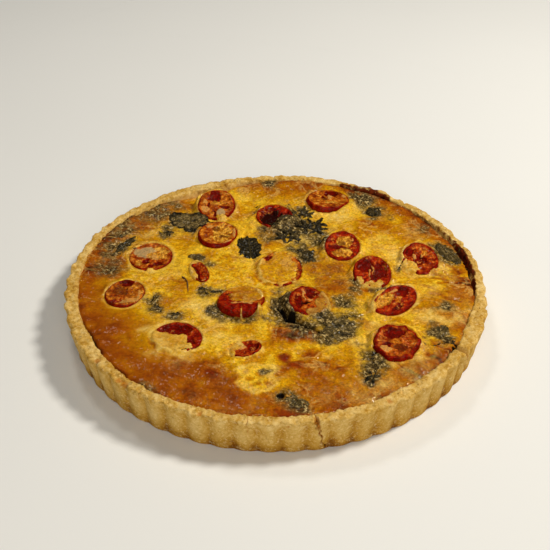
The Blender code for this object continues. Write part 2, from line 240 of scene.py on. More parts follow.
PALE = (
    # (x, y, radius, amount) of pale cheese
    (50, -110, 14, 0.45), (84, -92, 13, 0.5), (110, -38, 12, 0.55), (101, -14, 10, 0.45), (119, -22, 9, 0.3),
    (96, 57, 10, 0.4), (66, -104, 10, 0.45), (30, -113, 10, 0.3), (90, -78, 8, 0.4), (122, -34, 6, 0.4),
    (45, 80, 12, 0.75), (34, 90, 7, 0.6), (-16, 66, 9, 0.4), (-52, -26, 10, 0.75), (-44, -36, 9, 0.7),
    (-36, -46, 9, 0.55), (-80, -52, 6, 0.6), (-56, -80, 9, 0.5), (-74, -78, 6, 0.45), (-34, -62, 8, 0.55),
    (-24, -64, 6, 0.6), (108, 14, 11, 0.6), (96, -40, 9, 0.7), (74, 44, 12, 0.5), (80, 30, 9, 0.65),
    (86, 18, 8, 0.7), (92, 8, 7, 0.5), (62, 92, 8, 0.6), (-90, 58, 8, 0.6), (-60, 68, 7, 0.3),
    (52, -66, 7, 0.7), (58, -54, 7, 0.5), (62, -46, 7, 0.5), (84, -80, 7, 0.5), (66, -84, 6, 0.6),
    (18, 50, 9, 0.8), (28, 82, 6, 0.5), (-72, 8, 12, 0.35), (-26, 52, 6, 0.3), (50, -84, 7, 0.4),
    (62, -32, 5, 0.6), (105, -44, 5, 0.5), (-40, 42, 8, 0.35), (-24, 110, 7, 0.5), (6, 98, 8, 0.35),
    (-20, 25, 9, 0.5), (46, -32, 6, 0.4), (-66, -36, 5, 0.4), (-84, 42, 7, 0.4), (30, -66, 8, 0.3),
    (-68, -62, 4, 0.7), (-106, 68, 5, 0.3), (-93, 84, 5, 0.3), (-86, 95, 5, 0.3), (-112, 40, 4, 0.3),
    (-103, 56, 4, 0.3), (98, 94, 4, 0.3), (118, 2, 8, 0.3), (60, 22, 5, 0.3),
)
# Pools of pale melted cheese with a clear outline: the points (x, y) of the outline, and how pale
CHEESE_POOLS = (
    (((-1, -86), (-12, -84), (-22, -87), (-25, -93), (-19, -98), (-24, -103), (-18, -110),
      (-10, -114), (-3, -110), (2, -103), (-2, -96), (3, -91)), 1.0),
    (((86, 24), (92, 14), (100, 8), (112, 4), (117, 12), (112, 20), (103, 17), (95, 12), (91, 20)), 0.7),
    (((60, 92), (52, 84), (38, 82), (29, 88), (24, 80), (36, 73), (50, 74), (64, 84)), 0.6),
    (((84, -44), (92, -38), (101, -40), (110, -45), (108, -51), (98, -46), (88, -50)), 0.6),
    (((-50, -22), (-40, -20), (-32, -34), (-22, -46), (-28, -54), (-42, -46), (-56, -34)), 0.6),
    (((10, 55), (16, 58), (26, 55), (29, 47), (22, 41), (12, 44)), 0.9),
    (((52, -62), (59, -60), (60, -68), (55, -74), (49, -69)), 0.9),
)
HAZE = (
    # (x, y, radius, amount) of grey green from leaves that lie just below
    (-66, 74, 13, 0.85), (-58, 64, 10, 0.8), (-78, 56, 6, 0.8), (-78, 64, 6, 0.6), (-84, 78, 10, 0.45),
    (-100, 78, 12, 0.3), (-72, 96, 6, 0.5), (-92, 90, 5, 0.4), (-106, 46, 7, 0.7), (-114, 30, 6, 0.7),
    (-112, 8, 8, 0.5), (-104, 36, 5, 0.6), (-118, 18, 6, 0.4), (-100, 12, 5, 0.3), (12, 70, 13, 0.9),
    (4, 58, 10, 0.85), (22, 62, 12, 0.8), (28, 48, 9, 0.7), (14, 38, 10, 0.75), (20, 28, 9, 0.9),
    (16, 18, 5, 0.7), (-6, 52, 9, 0.6), (34, 40, 7, 0.7), (8, 84, 10, 0.6), (20, 88, 7, 0.7),
    (34, 54, 6, 0.6), (-14, 84, 5, 0.5), (-10, 62, 6, 0.5), (36, 30, 6, 0.3), (4, -26, 9, 0.95),
    (6, -38, 10, 1.0), (2, -12, 6, 0.5), (16, -50, 9, 0.9), (30, -44, 10, 0.9), (38, -54, 12, 0.95),
    (46, -42, 9, 0.7), (44, -24, 8, 0.75), (50, -14, 6, 0.6), (30, -62, 8, 0.7), (52, -30, 6, 0.5),
    (28, -32, 8, 0.5), (52, -4, 6, 0.7), (64, -12, 4, 0.6), (70, -14, 5, 0.8), (76, -16, 3, 0.6),
    (56, -78, 8, 0.6), (52, -70, 5, 0.4), (58, -90, 8, 0.8), (54, -99, 7, 0.7), (62, -84, 5, 0.5),
    (100, -56, 8, 0.85), (104, -64, 6, 0.7), (97, -48, 5, 0.5), (108, -31, 6, 0.65), (101, -33, 4, 0.4),
    (116, 30, 10, 0.75), (122, 22, 6, 0.6), (110, 40, 5, 0.6), (106, 62, 6, 0.55), (82, 78, 6, 0.4),
    (66, 104, 10, 0.85), (58, 108, 6, 0.7), (72, 88, 9, 0.75), (70, 76, 5, 0.5), (64, 94, 5, 0.4),
    (-6, 128, 7, 0.7), (-2, 120, 5, 0.3), (6, -114, 7, 0.7), (12, -120, 7, 0.75), (-6, -92, 4, 0.6),
    (-40, -34, 6, 0.8), (-32, -38, 7, 0.7), (-26, -42, 5, 0.5), (-16, -42, 7, 0.6), (-8, -42, 5, 0.6),
    (-78, -22, 7, 0.7), (-76, -32, 6, 0.7), (-64, -38, 6, 0.7), (-46, -14, 7, 0.7), (-36, -16, 6, 0.6),
    (-54, 24, 6, 0.7), (-46, 18, 6, 0.5), (82, 10, 5, 0.5), (86, 20, 4, 0.4), (52, 20, 4, 0.3),
    (-98, -108, 5, 0.5), (-74, -106, 6, 0.5), (92, -62, 4, 0.4), (20, 8, 5, 0.3), (14, -6, 5, 0.4),
    (-90, 86, 14, 0.58), (-108, 62, 12, 0.56), (-112, 40, 10, 0.54), (-112, 14, 12, 0.5),
    (-80, 98, 10, 0.44), (-98, 92, 8, 0.5), (38, 10, 13, 0.26), (30, 0, 10, 0.24), (46, -4, 10, 0.28),
    (26, 20, 8, 0.3), (0, 74, 10, 0.5),
)
JUICE = (
    # (x, y, radius, amount) of red from the tomatoes
    (8, -88, 7, 0.6), (16, -92, 5, 0.5), (10, -124, 8, 0.8), (3, -128, 7, 0.95), (-36, -97, 6, 0.5),
    (28, -24, 9, 0.7), (34, -14, 6, 0.45), (-22, -16, 9, 0.2), (14, -2, 4, 0.5), (6, 2, 3, 0.6),
    (36, -114, 9, 0.4), (50, -110, 8, 0.35), (88, -90, 9, 0.35), (22, -57, 4, 0.45), (5, -81, 4, 0.7),
    (66, -6, 5, 0.4), (122, -40, 6, 0.3), (92, -26, 6, 0.3), (96, 56, 6, 0.25), (-116, 60, 8, 0.35),
    (-114, 16, 8, 0.35), (64, 120, 8, 0.7), (74, 112, 9, 0.8), (-16, 20, 5, 0.3), (106, -44, 7, 0.25),
    (20, -100, 8, 0.35), (-54, -90, 8, 0.25), (126, 52, 7, 0.4), (104, 84, 8, 0.2), (30, -90, 4, 0.3),
)

# The cut faces. film: how orange the flesh is; brown: how browned; rim: how far the skin's edge stands out;
# ring: where the skin begins; bare: the side that stands clear of the custard; halo: how pale the custard beside
# it is; marks: (kind, u, v, half width, half height), from the right and the back of the face, in half sizes;
# cover: ellipses of custard and cheese over the face, in the same way, and over: their colours
SLICES = {
    "tomato_slice_01": dict(
        film=0.65, brown=0.25, rim=0.4, bare=(0.3, -0.5), knobs=0.05,
        marks=(
            ("amber", 0.3, 0.3, 0.36, 0.26), ("gel", -0.11, 0.54, 0.34, 0.36),
            ("cream", -0.58, -0.32, 0.22, 0.26), ("gel", 0.42, -0.18, 0.3, 0.09),
            ("grey", 0.25, -0.52, 0.28, 0.22), ("amber", -0.25, -0.5, 0.14, 0.2),
            ("gel", -0.04, -0.62, 0.09, 0.22), ("pale", 0.05, 0.1, 0.4, 0.12),
            ("gel", -0.4, -0.02, 0.1, 0.14), ("cream", -0.62, 0.2, 0.1, 0.14),
        ),
        cover=((0.28, -0.85, 0.3, 0.2),),
    ),
    "tomato_slice_02": dict(
        film=0.85, brown=0.15, rim=0.3, bare=(-0.45, -0.9), halo=0.2,
        marks=(
            ("pool", 0.2, -0.05, 0.5, 0.72), ("flesh", -0.5, 0.1, 0.28, 0.5), ("spot", -0.1, 0.4, 0.2, 0.22),
            ("cream", 0.86, -0.05, 0.08, 0.6), ("cream", 0.6, 0.62, 0.2, 0.09),
            ("cream", 0.5, -0.7, 0.24, 0.08), ("spot", 0.35, -0.2, 0.3, 0.12),
            ("cream", -0.45, 0.62, 0.2, 0.12),
        ),
    ),
    "tomato_slice_03": dict(
        film=0.0, brown=0.1, rim=0.25, over=dict(brown=0.4, cream=0.0, juice=0.1, green=1.0), halo=0.2,
        marks=(
            ("gel", 0.05, -0.02, 0.86, 0.86), ("deep", -0.1, -0.2, 0.72, 0.66),
            ("seeds", -0.4, 0.5, 0.3, 0.2), ("seeds", -0.75, 0.1, 0.12, 0.4), ("skin", 0.3, 0.45, 0.4, 0.25),
        ),
        cover=((0.75, -0.35, 0.6, 0.5), (0.3, -0.9, 0.5, 0.35)),
    ),
    "tomato_slice_04": dict(
        film=0.75, brown=0.3, rim=0.3, bare=(-0.5, -0.8), halo=0.2,
        marks=(
            ("gel", 0.2, 0.6, 0.32, 0.26), ("amber", 0.6, 0.05, 0.26, 0.3),
            ("amber", -0.56, 0.0, 0.29, 0.36), ("cream", 0.1, 0.16, 0.12, 0.3),
            ("pale", 0.18, -0.32, 0.4, 0.16), ("spot", -0.14, 0.02, 0.12, 0.2),
            ("cream", 0.75, 0.4, 0.1, 0.2), ("flesh", -0.2, -0.62, 0.4, 0.18),
            ("gel", -0.22, 0.25, 0.09, 0.16),
        ),
    ),
    "tomato_slice_05": dict(
        film=0.0, brown=0.1, rim=0.5, ring=0.78, knobs=0.06, halo=0.3,
        marks=(
            ("pool", 0.16, 0.3, 0.5, 0.36), ("spot", 0.02, 0.2, 0.25, 0.16),
            ("pool", 0.02, -0.46, 0.64, 0.32), ("pale", 0.1, -0.5, 0.4, 0.16),
            ("gel", -0.42, -0.05, 0.44, 0.14), ("spot", 0.14, -0.12, 0.4, 0.09),
            ("seeds", 0.74, 0.2, 0.14, 0.45), ("seeds", -0.55, 0.45, 0.14, 0.3),
            ("cream", 0.62, 0.42, 0.08, 0.14),
        ),
    ),
    "tomato_slice_06": dict(
        film=0.55, brown=0.15, rim=0.25, ring=0.93, halo=0.5,
        marks=(
            ("pale", 0.35, 0.25, 0.5, 0.5), ("grey", -0.3, 0.32, 0.46, 0.42),
            ("pale", 0.15, 0.05, 0.3, 0.25), ("gel", -0.17, -0.34, 0.16, 0.18),
            ("cream", 0.2, -0.05, 0.14, 0.2), ("gel", 0.38, -0.52, 0.24, 0.14),
            ("gel", -0.23, -0.92, 0.2, 0.08), ("spot", 0.66, -0.6, 0.24, 0.1),
            ("pale", -0.5, -0.45, 0.2, 0.2), ("gel", 0.05, -0.62, 0.12, 0.1),
            ("orange", 0.1, -0.3, 0.14, 0.14),
        ),
        cover=((-0.85, 0.8, 0.25, 0.2), (0.1, -1.0, 0.16, 0.12)),
    ),
    "tomato_slice_07": dict(
        film=0.8, brown=0.5, rim=0.2, ring=0.93, bare=(-0.5, -0.9), halo=0.5,
        marks=(
            ("flesh", -0.1, 0.0, 0.7, 0.6), ("spot", -0.25, 0.15, 0.4, 0.3),
            ("cream", 0.5, -0.6, 0.32, 0.16), ("cream", 0.78, -0.15, 0.1, 0.35),
            ("gel", 0.02, 0.82, 0.42, 0.24), ("amber", 0.35, 0.1, 0.25, 0.3),
            ("cream", -0.1, -0.75, 0.4, 0.08), ("skin", -0.5, -0.72, 0.3, 0.14),
        ),
    ),
    "tomato_slice_08": dict(
        film=0.2, brown=0.1, rim=0.3, along=True,
        marks=(("gel", 0.0, 0.45, 0.85, 0.35), ("orange", -0.15, -0.55, 0.75, 0.4), ("cream", -0.9, 0.1, 0.1, 0.5)),
        cover=((0.1, 1.05, 0.75, 0.7), (1.0, 0.2, 0.2, 0.9)),
    ),
    "tomato_slice_09": dict(
        film=0.7, brown=0.2, rim=0.3, over=dict(brown=0.32, cream=0.18, juice=0.16), halo=0.1,
        marks=(("gel", -0.5, 0.62, 0.22, 0.2), ("orange", 0.9, -0.3, 0.12, 0.6), ("pale", 0.3, 0.1, 0.4, 0.4)),
        cover=((0.0, -0.1, 0.86, 0.86), (-0.7, -0.3, 0.6, 0.8), (0.1, 0.65, 0.55, 0.36), (-0.9, 0.3, 0.3, 0.3)),
    ),
    "tomato_slice_10": dict(
        film=0.45, brown=0.2, rim=0.3, bare=(-0.5, -0.85), over=dict(brown=0.5, cream=0.2, juice=0.3, green=0.15),
        halo=0.2,
        marks=(
            ("gel", -0.6, 0.3, 0.16, 0.18), ("skin", -0.2, -0.6, 0.9, 0.4), ("skin", -0.75, -0.1, 0.3, 0.5),
            ("orange", -0.3, 0.5, 0.2, 0.2), ("cream", 0.0, -0.32, 0.5, 0.08),
        ),
        cover=((0.22, 0.3, 0.8, 0.62), (0.5, 0.8, 0.6, 0.4), (-0.2, 0.85, 0.6, 0.35), (0.02, -0.86, 0.05, 0.24),
               (0.74, -0.6, 0.06, 0.4)),
    ),
    "tomato_slice_11": dict(
        film=0.38, brown=0.25, rim=0.5, ring=0.84, knobs=0.07, halo=0.0,
        over=dict(brown=0.5, cream=0.4, juice=0.5, green=0.2),
        marks=(
            ("gel", 0.1, 0.52, 0.24, 0.36), ("cream", -0.25, 0.38, 0.06, 0.4),
            ("gel", -0.5, -0.1, 0.18, 0.42), ("deep", -0.15, -0.12, 0.25, 0.09),
            ("seeds", -0.6, 0.45, 0.16, 0.3), ("orange", 0.2, -0.1, 0.3, 0.3),
            ("cream", 0.05, 0.1, 0.16, 0.06), ("seeds", 0.3, 0.6, 0.14, 0.2),
        ),
        cover=((0.78, -0.15, 0.5, 0.62), (0.35, -0.78, 0.5, 0.36), (0.7, 0.45, 0.2, 0.3)),
    ),
    "tomato_slice_12": dict(
        film=0.1, brown=0.15, rim=0.5, ring=0.86, over=dict(brown=0.35, cream=0.75, juice=0.3, green=0.2), halo=0.1,
        marks=(
            ("gel", -0.32, 0.42, 0.46, 0.42), ("gel", 0.46, 0.12, 0.34, 0.44),
            ("cream", -0.14, -0.1, 0.07, 0.32), ("cream", 0.08, 0.16, 0.06, 0.28),
            ("gel", 0.05, -0.3, 0.2, 0.14), ("seeds", 0.8, 0.4, 0.14, 0.3), ("seeds", -0.2, 0.9, 0.3, 0.1),
        ),
        cover=((-0.15, -0.92, 0.55, 0.42), (-0.66, -0.5, 0.24, 0.3), (0.35, -0.62, 0.22, 0.2)),
    ),
    "tomato_slice_13": dict(
        film=0.35, brown=0.15, rim=0.5, ring=0.82, knobs=0.05, halo=0.5,
        marks=(
            ("gel", -0.6, 0.36, 0.28, 0.26), ("gel", -0.02, -0.1, 0.36, 0.3),
            ("cream", -0.28, 0.12, 0.1, 0.2), ("amber", 0.32, 0.36, 0.17, 0.17),
            ("seeds", 0.0, -0.12, 0.2, 0.15), ("seeds", 0.0, 0.6, 0.4, 0.14),
            ("seeds", 0.66, 0.1, 0.14, 0.4), ("cream", 0.12, 0.12, 0.08, 0.12),
        ),
        cover=((-0.75, -0.62, 0.62, 0.5), (-0.95, -0.05, 0.22, 0.35), (0.75, -0.92, 0.4, 0.25)),
    ),
    "tomato_slice_14": dict(
        film=0.15, brown=0.2, rim=0.5, ring=0.84, along=True, bare=(0.3, -0.9), halo=0.5,
        marks=(
            ("gel", 0.55, 0.2, 0.3, 0.36), ("pool", -0.36, 0.4, 0.54, 0.42),
            ("amber", 0.12, -0.1, 0.16, 0.3), ("seeds", -0.45, 0.35, 0.25, 0.25),
            ("seeds", 0.0, -0.45, 0.3, 0.2), ("gel", -0.2, -0.5, 0.3, 0.14), ("cream", 0.3, 0.55, 0.2, 0.14),
            ("pale", -0.5, 0.1, 0.16, 0.16),
        ),
        cover=((-0.95, 0.6, 0.3, 0.5), (-0.5, 0.98, 0.5, 0.2)),
    ),
    "tomato_slice_15": dict(
        film=0.5, brown=0.3, rim=0.9, ring=0.84, knobs=0.16, bare=(0.3, -0.7), halo=0.3,
        marks=(
            ("gel", 0.0, 0.5, 0.44, 0.3), ("cream", -0.45, -0.35, 0.26, 0.18),
            ("amber", 0.0, 0.05, 0.3, 0.14), ("gel", -0.35, -0.12, 0.26, 0.14),
            ("spot", 0.2, -0.3, 0.26, 0.2), ("seeds", -0.55, 0.3, 0.2, 0.3), ("seeds", 0.5, 0.0, 0.2, 0.4),
            ("orange", 0.35, 0.2, 0.2, 0.2),
        ),
    ),
    "tomato_slice_16": dict(
        film=0.15, brown=0.2, rim=0.5, ring=0.86, over=dict(brown=0.3, cream=0.45, juice=0.08), halo=0.6,
        marks=(("gel", -0.1, 0.5, 0.66, 0.34), ("seeds", -0.4, 0.4, 0.24, 0.14), ("gel", 0.56, -0.2, 0.22, 0.24)),
        cover=((-0.3, -0.28, 0.7, 0.5), (-0.7, -0.3, 0.5, 0.62), (-0.2, -0.8, 0.7, 0.42), (0.36, -0.62, 0.3, 0.3),
               (0.2, 0.02, 0.22, 0.16)),
    ),
    "tomato_slice_17": dict(
        film=0.3, brown=0.2, rim=0.3, along=True, halo=0.6,
        marks=(("gel", 0.45, 0.0, 0.42, 0.55), ("cream", -0.2, 0.25, 0.3, 0.3), ("seeds", 0.4, -0.2, 0.2, 0.3)),
        cover=((-0.45, 0.7, 0.5, 0.6), (-1.0, 0.0, 0.3, 0.6)),
    ),
}

# Leaves. tone: from 0 for near black to 1 for olive brown; film: how much custard haze lies over the leaf, and
# edge: how much more at its edge
LEAVES = {
    "leaf_piece_01": dict(outline="ragged", tone=0.05, film=0.05, lift=1.3, stretch=1.12),
    "leaf_piece_02": dict(outline="ragged", tone=0.3, film=0.3, lift=1.3, stretch=1.05),
    "leaf_piece_03": dict(outline="oval", tone=0.12, film=1.25, edge=-1.7, lift=1.3, stretch=1.35, shift=(4, -1)),
    "leaf_piece_04": dict(outline="curled", tone=0.3, film=0.3, lift=1.2, stretch=1.1),
    "leaf_piece_05": dict(outline="oval", tone=0.6, film=0.5, edge=-0.5, lift=0.9, stretch=1.2),
    "leaf_piece_06": dict(outline="ragged", tone=0.2, film=0.4, lift=0.9, stretch=1.1),
    "leaf_piece_07": dict(outline="oval", tone=0.6, film=0.8, lift=0.3),
    "leaf_piece_08": dict(outline="ragged", tone=0.4, film=0.8, lift=0.2, stretch=1.15),
    "leaf_piece_09": dict(outline="star", tone=0.15, film=0.3, lift=0.8),
    "leaf_piece_10": dict(outline="ragged", tone=0.6, film=0.9, lift=0.1),
    "leaf_piece_11": dict(outline="curled", tone=0.7, film=0.45, lift=1.4, stretch=1.2),
    "parsley_leaf_01": dict(outline="frond", tone=0.2, film=0.3, lift=1.4, stretch=1.2),
    "parsley_leaf_02": dict(outline="frond", tone=0.1, film=0.1, lift=1.6, stretch=1.2),
    "parsley_leaf_03": dict(outline="frond", tone=0.2, film=0.35, lift=1.3, stretch=1.25),
}


# ---------------------------------------------------------------------------------------------------------
# Numbers: noise and soft steps
# ---------------------------------------------------------------------------------------------------------


class Noise:
    """Smooth gradient noise in space, from about -1 to 1. The same seed always gives the same noise."""

    def __init__(self, seed):
        chance = np.random.default_rng(seed)
        self.order = np.tile(chance.permutation(256), 2)
        slopes = chance.normal(size=(256, 3))
        self.slopes = slopes / np.linalg.norm(slopes, axis=1, keepdims=True)

    def __call__(self, points, size):
        places = points / size
        cell = np.floor(places).astype(int)
        part = places - cell
        fade = part * part * part * (part * (part * 6 - 15) + 10)
        total = np.zeros(len(points))
        for corner in np.ndindex(2, 2, 2):
            corner = np.array(corner)
            i, j, k = ((cell + corner) & 255).T
            slope = self.slopes[self.order[self.order[self.order[i] + j] + k]]
            weight = np.prod(np.where(corner, fade, 1 - fade), axis=1)
            total += weight * np.einsum("ij,ij->i", slope, part - corner)
        return total * 1.6

    def layers(self, points, size, count, gain=0.5):
        """Several layers of the noise, each half as large as the last and weaker by the gain."""
        return sum(gain**n * self(points + 31.7 * n, size / 2**n) for n in range(count))


def step(values, low, high):
    """0 up to low and 1 from high on, or the other way round where low is above high, with soft ends."""
    share = np.clip((values - low) / (high - low), 0, 1)
    return share * share * (3 - 2 * share)


def blend(a, b, share):
    return a + (b - a) * share


def flat(x, y):
    """Points on the ground plane, for noise that depends on x and y alone."""
    return np.stack((x, y, np.zeros_like(x)), axis=1)


def hills(x, y, table):
    """The sum of soft round hills: (x, y, radius, height)."""
    return sum(height * np.exp(-((x - cx) ** 2 + (y - cy) ** 2) / radius**2) for cx, cy, radius, height in table)


def patches(x, y, table):
    """Soft patches that don't add up where they overlap: (x, y, radius, strength)."""
    total = np.zeros_like(x)
    for cx, cy, radius, strength in table:
        share = ((x - cx) ** 2 + (y - cy) ** 2) / radius**2
        total += (strength * np.exp(-0.9 * share**1.3)) ** 3
    return np.cbrt(total)


def line_distance(x, y, line):
    """The distance from plan points to a line of short straight stretches."""
    nearest = np.full_like(x, 1e6)
    for (ax, ay), (bx, by) in zip(line, line[1:]):
        length = (bx - ax) ** 2 + (by - ay) ** 2
        share = np.clip(((x - ax) * (bx - ax) + (y - ay) * (by - ay)) / length, 0, 1)
        nearest = np.minimum(nearest, np.hypot(x - ax - share * (bx - ax), y - ay - share * (by - ay)))
    return nearest


def outline_share(x, y, outline, softness):
    """1 inside a closed outline of points and 0 outside it, with an edge that soft."""
    inside = np.zeros(len(x), dtype=bool)
    for (ax, ay), (bx, by) in zip(outline, outline[1:] + outline[:1]):
        crossing = (ay > y) != (by > y)
        inside ^= crossing & (x < ax + (bx - ax) * (y - ay) / (by - ay + 1e-9))
    away = line_distance(x, y, outline + outline[:1]) / softness
    return step(np.where(inside, away, -away), -0.6, 1.0)


def bump_at(angle, table):
    """The sum of soft bumps along the rim: (direction in degrees, half width in degrees, height)."""
    total = np.zeros_like(angle)
    for middle, width, height in table:
        away = (angle - middle + 180) % 360 - 180
        total += height * np.exp(-((away / width) ** 2))
    return total


# ---------------------------------------------------------------------------------------------------------
# Meshes
# ---------------------------------------------------------------------------------------------------------


def add_piece(name, points, faces, material, masks=None, replaced=None):
    """A new smooth piece of the quiche, with a value at each point for each mask."""
    mesh = bpy.data.meshes.new(name)
    mesh.from_pydata((np.asarray(points) * MM).tolist(), [], faces)
    for mask, values in (masks or {}).items():
        layer = mesh.attributes.new(mask, "FLOAT", "POINT")
        layer.data.foreach_set("value", np.asarray(values, dtype=np.float32))
    mesh.shade_smooth()
    mesh.materials.append(material)
    piece = bpy.data.objects.new(name, mesh)
    bpy.context.scene.collection.objects.link(piece)
    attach(piece, "root")
    if replaced:
        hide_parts(replaced)
    return piece


def tube_faces(rings, around, start=0):
    """Quads between closed rings of points that follow each other."""
    faces = []
    for ring in range(rings - 1):
        low = start + ring * around
        high = low + around
        faces += [(low + i, low + (i + 1) % around, high + (i + 1) % around, high + i) for i in range(around)]
    return faces


def disc_faces(rings, around, centre, start):
    """A fan round the centre point and then quads between the rings, facing up."""
    fan = [(centre, start + i, start + (i + 1) % around) for i in range(around)]
    return fan + [tuple(reversed(face)) for face in tube_faces(rings, around, start)]


class Join:
    """Collects many small closed shapes with their masks into one piece."""

    def __init__(self):
        self.points, self.faces, self.masks, self.count = [], [], {}, 0

    def add(self, points, faces, masks):
        self.points.append(points)
        self.faces += [tuple(i + self.count for i in face) for face in faces]
        for mask, values in masks.items():
            self.masks.setdefault(mask, []).append(np.broadcast_to(values, len(points)))
        self.count += len(points)

    def piece(self, name, material, slot):
        masks = {mask: np.concatenate(values) for mask, values in self.masks.items()}
        return add_piece(name, np.concatenate(self.points), self.faces, material, masks)


# ---------------------------------------------------------------------------------------------------------
# Materials
# ---------------------------------------------------------------------------------------------------------


def colour(red, green, blue):
    """A colour given on the usual scale of 0 to 255, as the linear colour that Blender uses."""
    scaled = (np.array((red, green, blue)) / 255.0).tolist()
    return tuple(c / 12.92 if c <= 0.04045 else ((c + 0.055) / 1.055) ** 2.4 for c in scaled) + (1.0,)


class Shader:
    """Builds one material's nodes. Each method returns the output of the node that it adds."""

    def __init__(self, name):
        self.material = bpy.data.materials.new(name)
        self.material.use_nodes = True
        self.tree = self.material.node_tree
        self.surface = self.tree.nodes["Principled BSDF"]
        self.place = self.tree.nodes.new("ShaderNodeTexCoord").outputs["Object"]

    def feed(self, socket, value):
        if isinstance(value, bpy.types.NodeSocket):
            self.tree.links.new(value, socket)
        else:
            socket.default_value = value

    def mask(self, name):
        node = self.tree.nodes.new("ShaderNodeAttribute")
        node.attribute_name = name
        return node.outputs["Fac"]

    def noise(self, size, detail=4.0, roughness=0.55, warp=0.0):
        """Noise from 0 to 1 with features of about that many millimetres."""
        node = self.tree.nodes.new("ShaderNodeTexNoise")
        self.feed(node.inputs["Vector"], self.place)
        node.inputs["Scale"].default_value = 1 / (size * MM)
        node.inputs["Detail"].default_value = detail
        node.inputs["Roughness"].default_value = roughness
        node.inputs["Distortion"].default_value = warp
        return node.outputs["Fac"]

    def math(self, operation, a, b=0.0, clamp=False):
        node = self.tree.nodes.new("ShaderNodeMath")
        node.operation = operation
        node.use_clamp = clamp
        self.feed(node.inputs[0], a)
        self.feed(node.inputs[1], b)
        return node.outputs[0]

    def swing(self, base, noise, amount):
        """The base value, swinging up and down by about the amount with the noise."""
        return self.math("ADD", base, self.math("MULTIPLY", self.math("SUBTRACT", noise, 0.5), 2 * amount))

    def band(self, value, low, high):
        """0 below low and 1 above high."""
        node = self.tree.nodes.new("ShaderNodeMapRange")
        node.interpolation_type = "SMOOTHSTEP"
        self.feed(node.inputs["Value"], value)
        node.inputs["From Min"].default_value = low
        node.inputs["From Max"].default_value = high
        return node.outputs["Result"]

    def ramp(self, value, stops):
        """A colour for each value, from (value, colour) stops."""
        node = self.tree.nodes.new("ShaderNodeValToRGB")
        while len(node.color_ramp.elements) < len(stops):
            node.color_ramp.elements.new(0.5)
        for element, (position, shade) in zip(node.color_ramp.elements, stops):
            element.position = position
            element.color = shade
        self.feed(node.inputs["Fac"], value)
        return node.outputs["Color"]

    def mix(self, a, b, share, mode="MIX"):
        node = self.tree.nodes.new("ShaderNodeMix")
        node.data_type = "RGBA"
        node.blend_type = mode
        node.clamp_factor = True
        self.feed(node.inputs["Factor"], share)
        self.feed(node.inputs[6], a)
        self.feed(node.inputs[7], b)
        return node.outputs[2]

    def bumps(self, layers):
        """A normal from several heights, as (height, depth in millimetres)."""
        normal = None
        for height, depth in layers:
            node = self.tree.nodes.new("ShaderNodeBump")
            node.inputs["Strength"].default_value = 1.0
            node.inputs["Distance"].default_value = depth * MM
            self.feed(node.inputs["Height"], height)
            if normal is not None:
                self.feed(node.inputs["Normal"], normal)
            normal = node.outputs["Normal"]
        return normal

    def finish(self, base, roughness, normal, wet=None, **constants):
        """Links the colour and the relief. The wet coat has its own smoother relief, so that it glints."""
        self.feed(self.surface.inputs["Base Color"], base)
        self.feed(self.surface.inputs["Roughness"], roughness)
        self.feed(self.surface.inputs["Normal"], normal)
        if wet is not None:
            self.feed(self.surface.inputs["Coat Normal"], wet)
        for socket, value in constants.items():
            self.surface.inputs[socket.replace("_", " ")].default_value = value
        return self.material


def crust_material():
    """Baked shortcrust: dry, floury and pale, golden where it stands out, with pits and crumbs, darker towards the
    base from browning and painted shade, with painted shade in the flute valleys and inside the deepest cracks.
    """
    s = Shader("shortcrust")
    broad = s.noise(26, 3)
    lumps = s.noise(6, 5)
    small = s.noise(3.2, 4, 0.7)
    grain = s.noise(1.5, 4, 0.75)
    # The toast mask is browning on the rim, browning and painted shade towards the base, and painted shade in the
    # flute valleys
    tone = s.swing(s.math("MULTIPLY", s.mask("toast_and_shade"), 0.7), broad, 0.45)
    uneven = s.swing(s.swing(0.0, lumps, 0.3), small, 0.38)
    crumbly = s.math("ADD", s.math("MULTIPLY", s.mask("crown"), 0.7), 1.0)
    tone = s.math("ADD", tone, s.math("MULTIPLY", uneven, crumbly))
    tone = s.math("ADD", tone, 0.3, clamp=True)
    base = s.ramp(tone, (
        (0.0, colour(226, 193, 124)), (0.3, colour(209, 170, 92)), (0.6, colour(190, 144, 56)),
        (0.85, colour(162, 112, 32)), (1.0, colour(126, 76, 16)),
    ))
    base = s.mix(base, colour(242, 214, 148), s.math("MULTIPLY", s.band(small, 0.55, 0.68), 0.55))
    base = s.mix(base, colour(246, 222, 160), s.math("MULTIPLY", s.band(grain, 0.47, 0.32), 0.45))
    dark_grain = s.math("MULTIPLY", s.band(grain, 0.54, 0.7), s.math("MULTIPLY", crumbly, 0.36))
    base = s.mix(base, colour(112, 72, 20), dark_grain)
    # The deep mask: browner where crumb shows in chips and cracks, and near black as painted shade inside the darkest
    # cracks
    base = s.mix(base, colour(176, 104, 22), s.math("MULTIPLY", s.mask("deep"), 1.6, clamp=True))
    base = s.mix(base, colour(40, 22, 8), s.band(s.mask("deep"), 0.6, 1.0))
    burnt = s.band(s.swing(s.swing(s.mask("burnt"), lumps, 0.4), small, 0.6), 0.25, 0.85)
    base = s.mix(base, s.ramp(small, ((0.35, colour(36, 12, 4)), (0.65, colour(112, 40, 10)))), burnt)
    normal = s.bumps(((lumps, 0.5), (small, 0.45), (grain, 0.3)))
    return s.finish(base, 0.9, normal, Specular_IOR_Level=0.05)


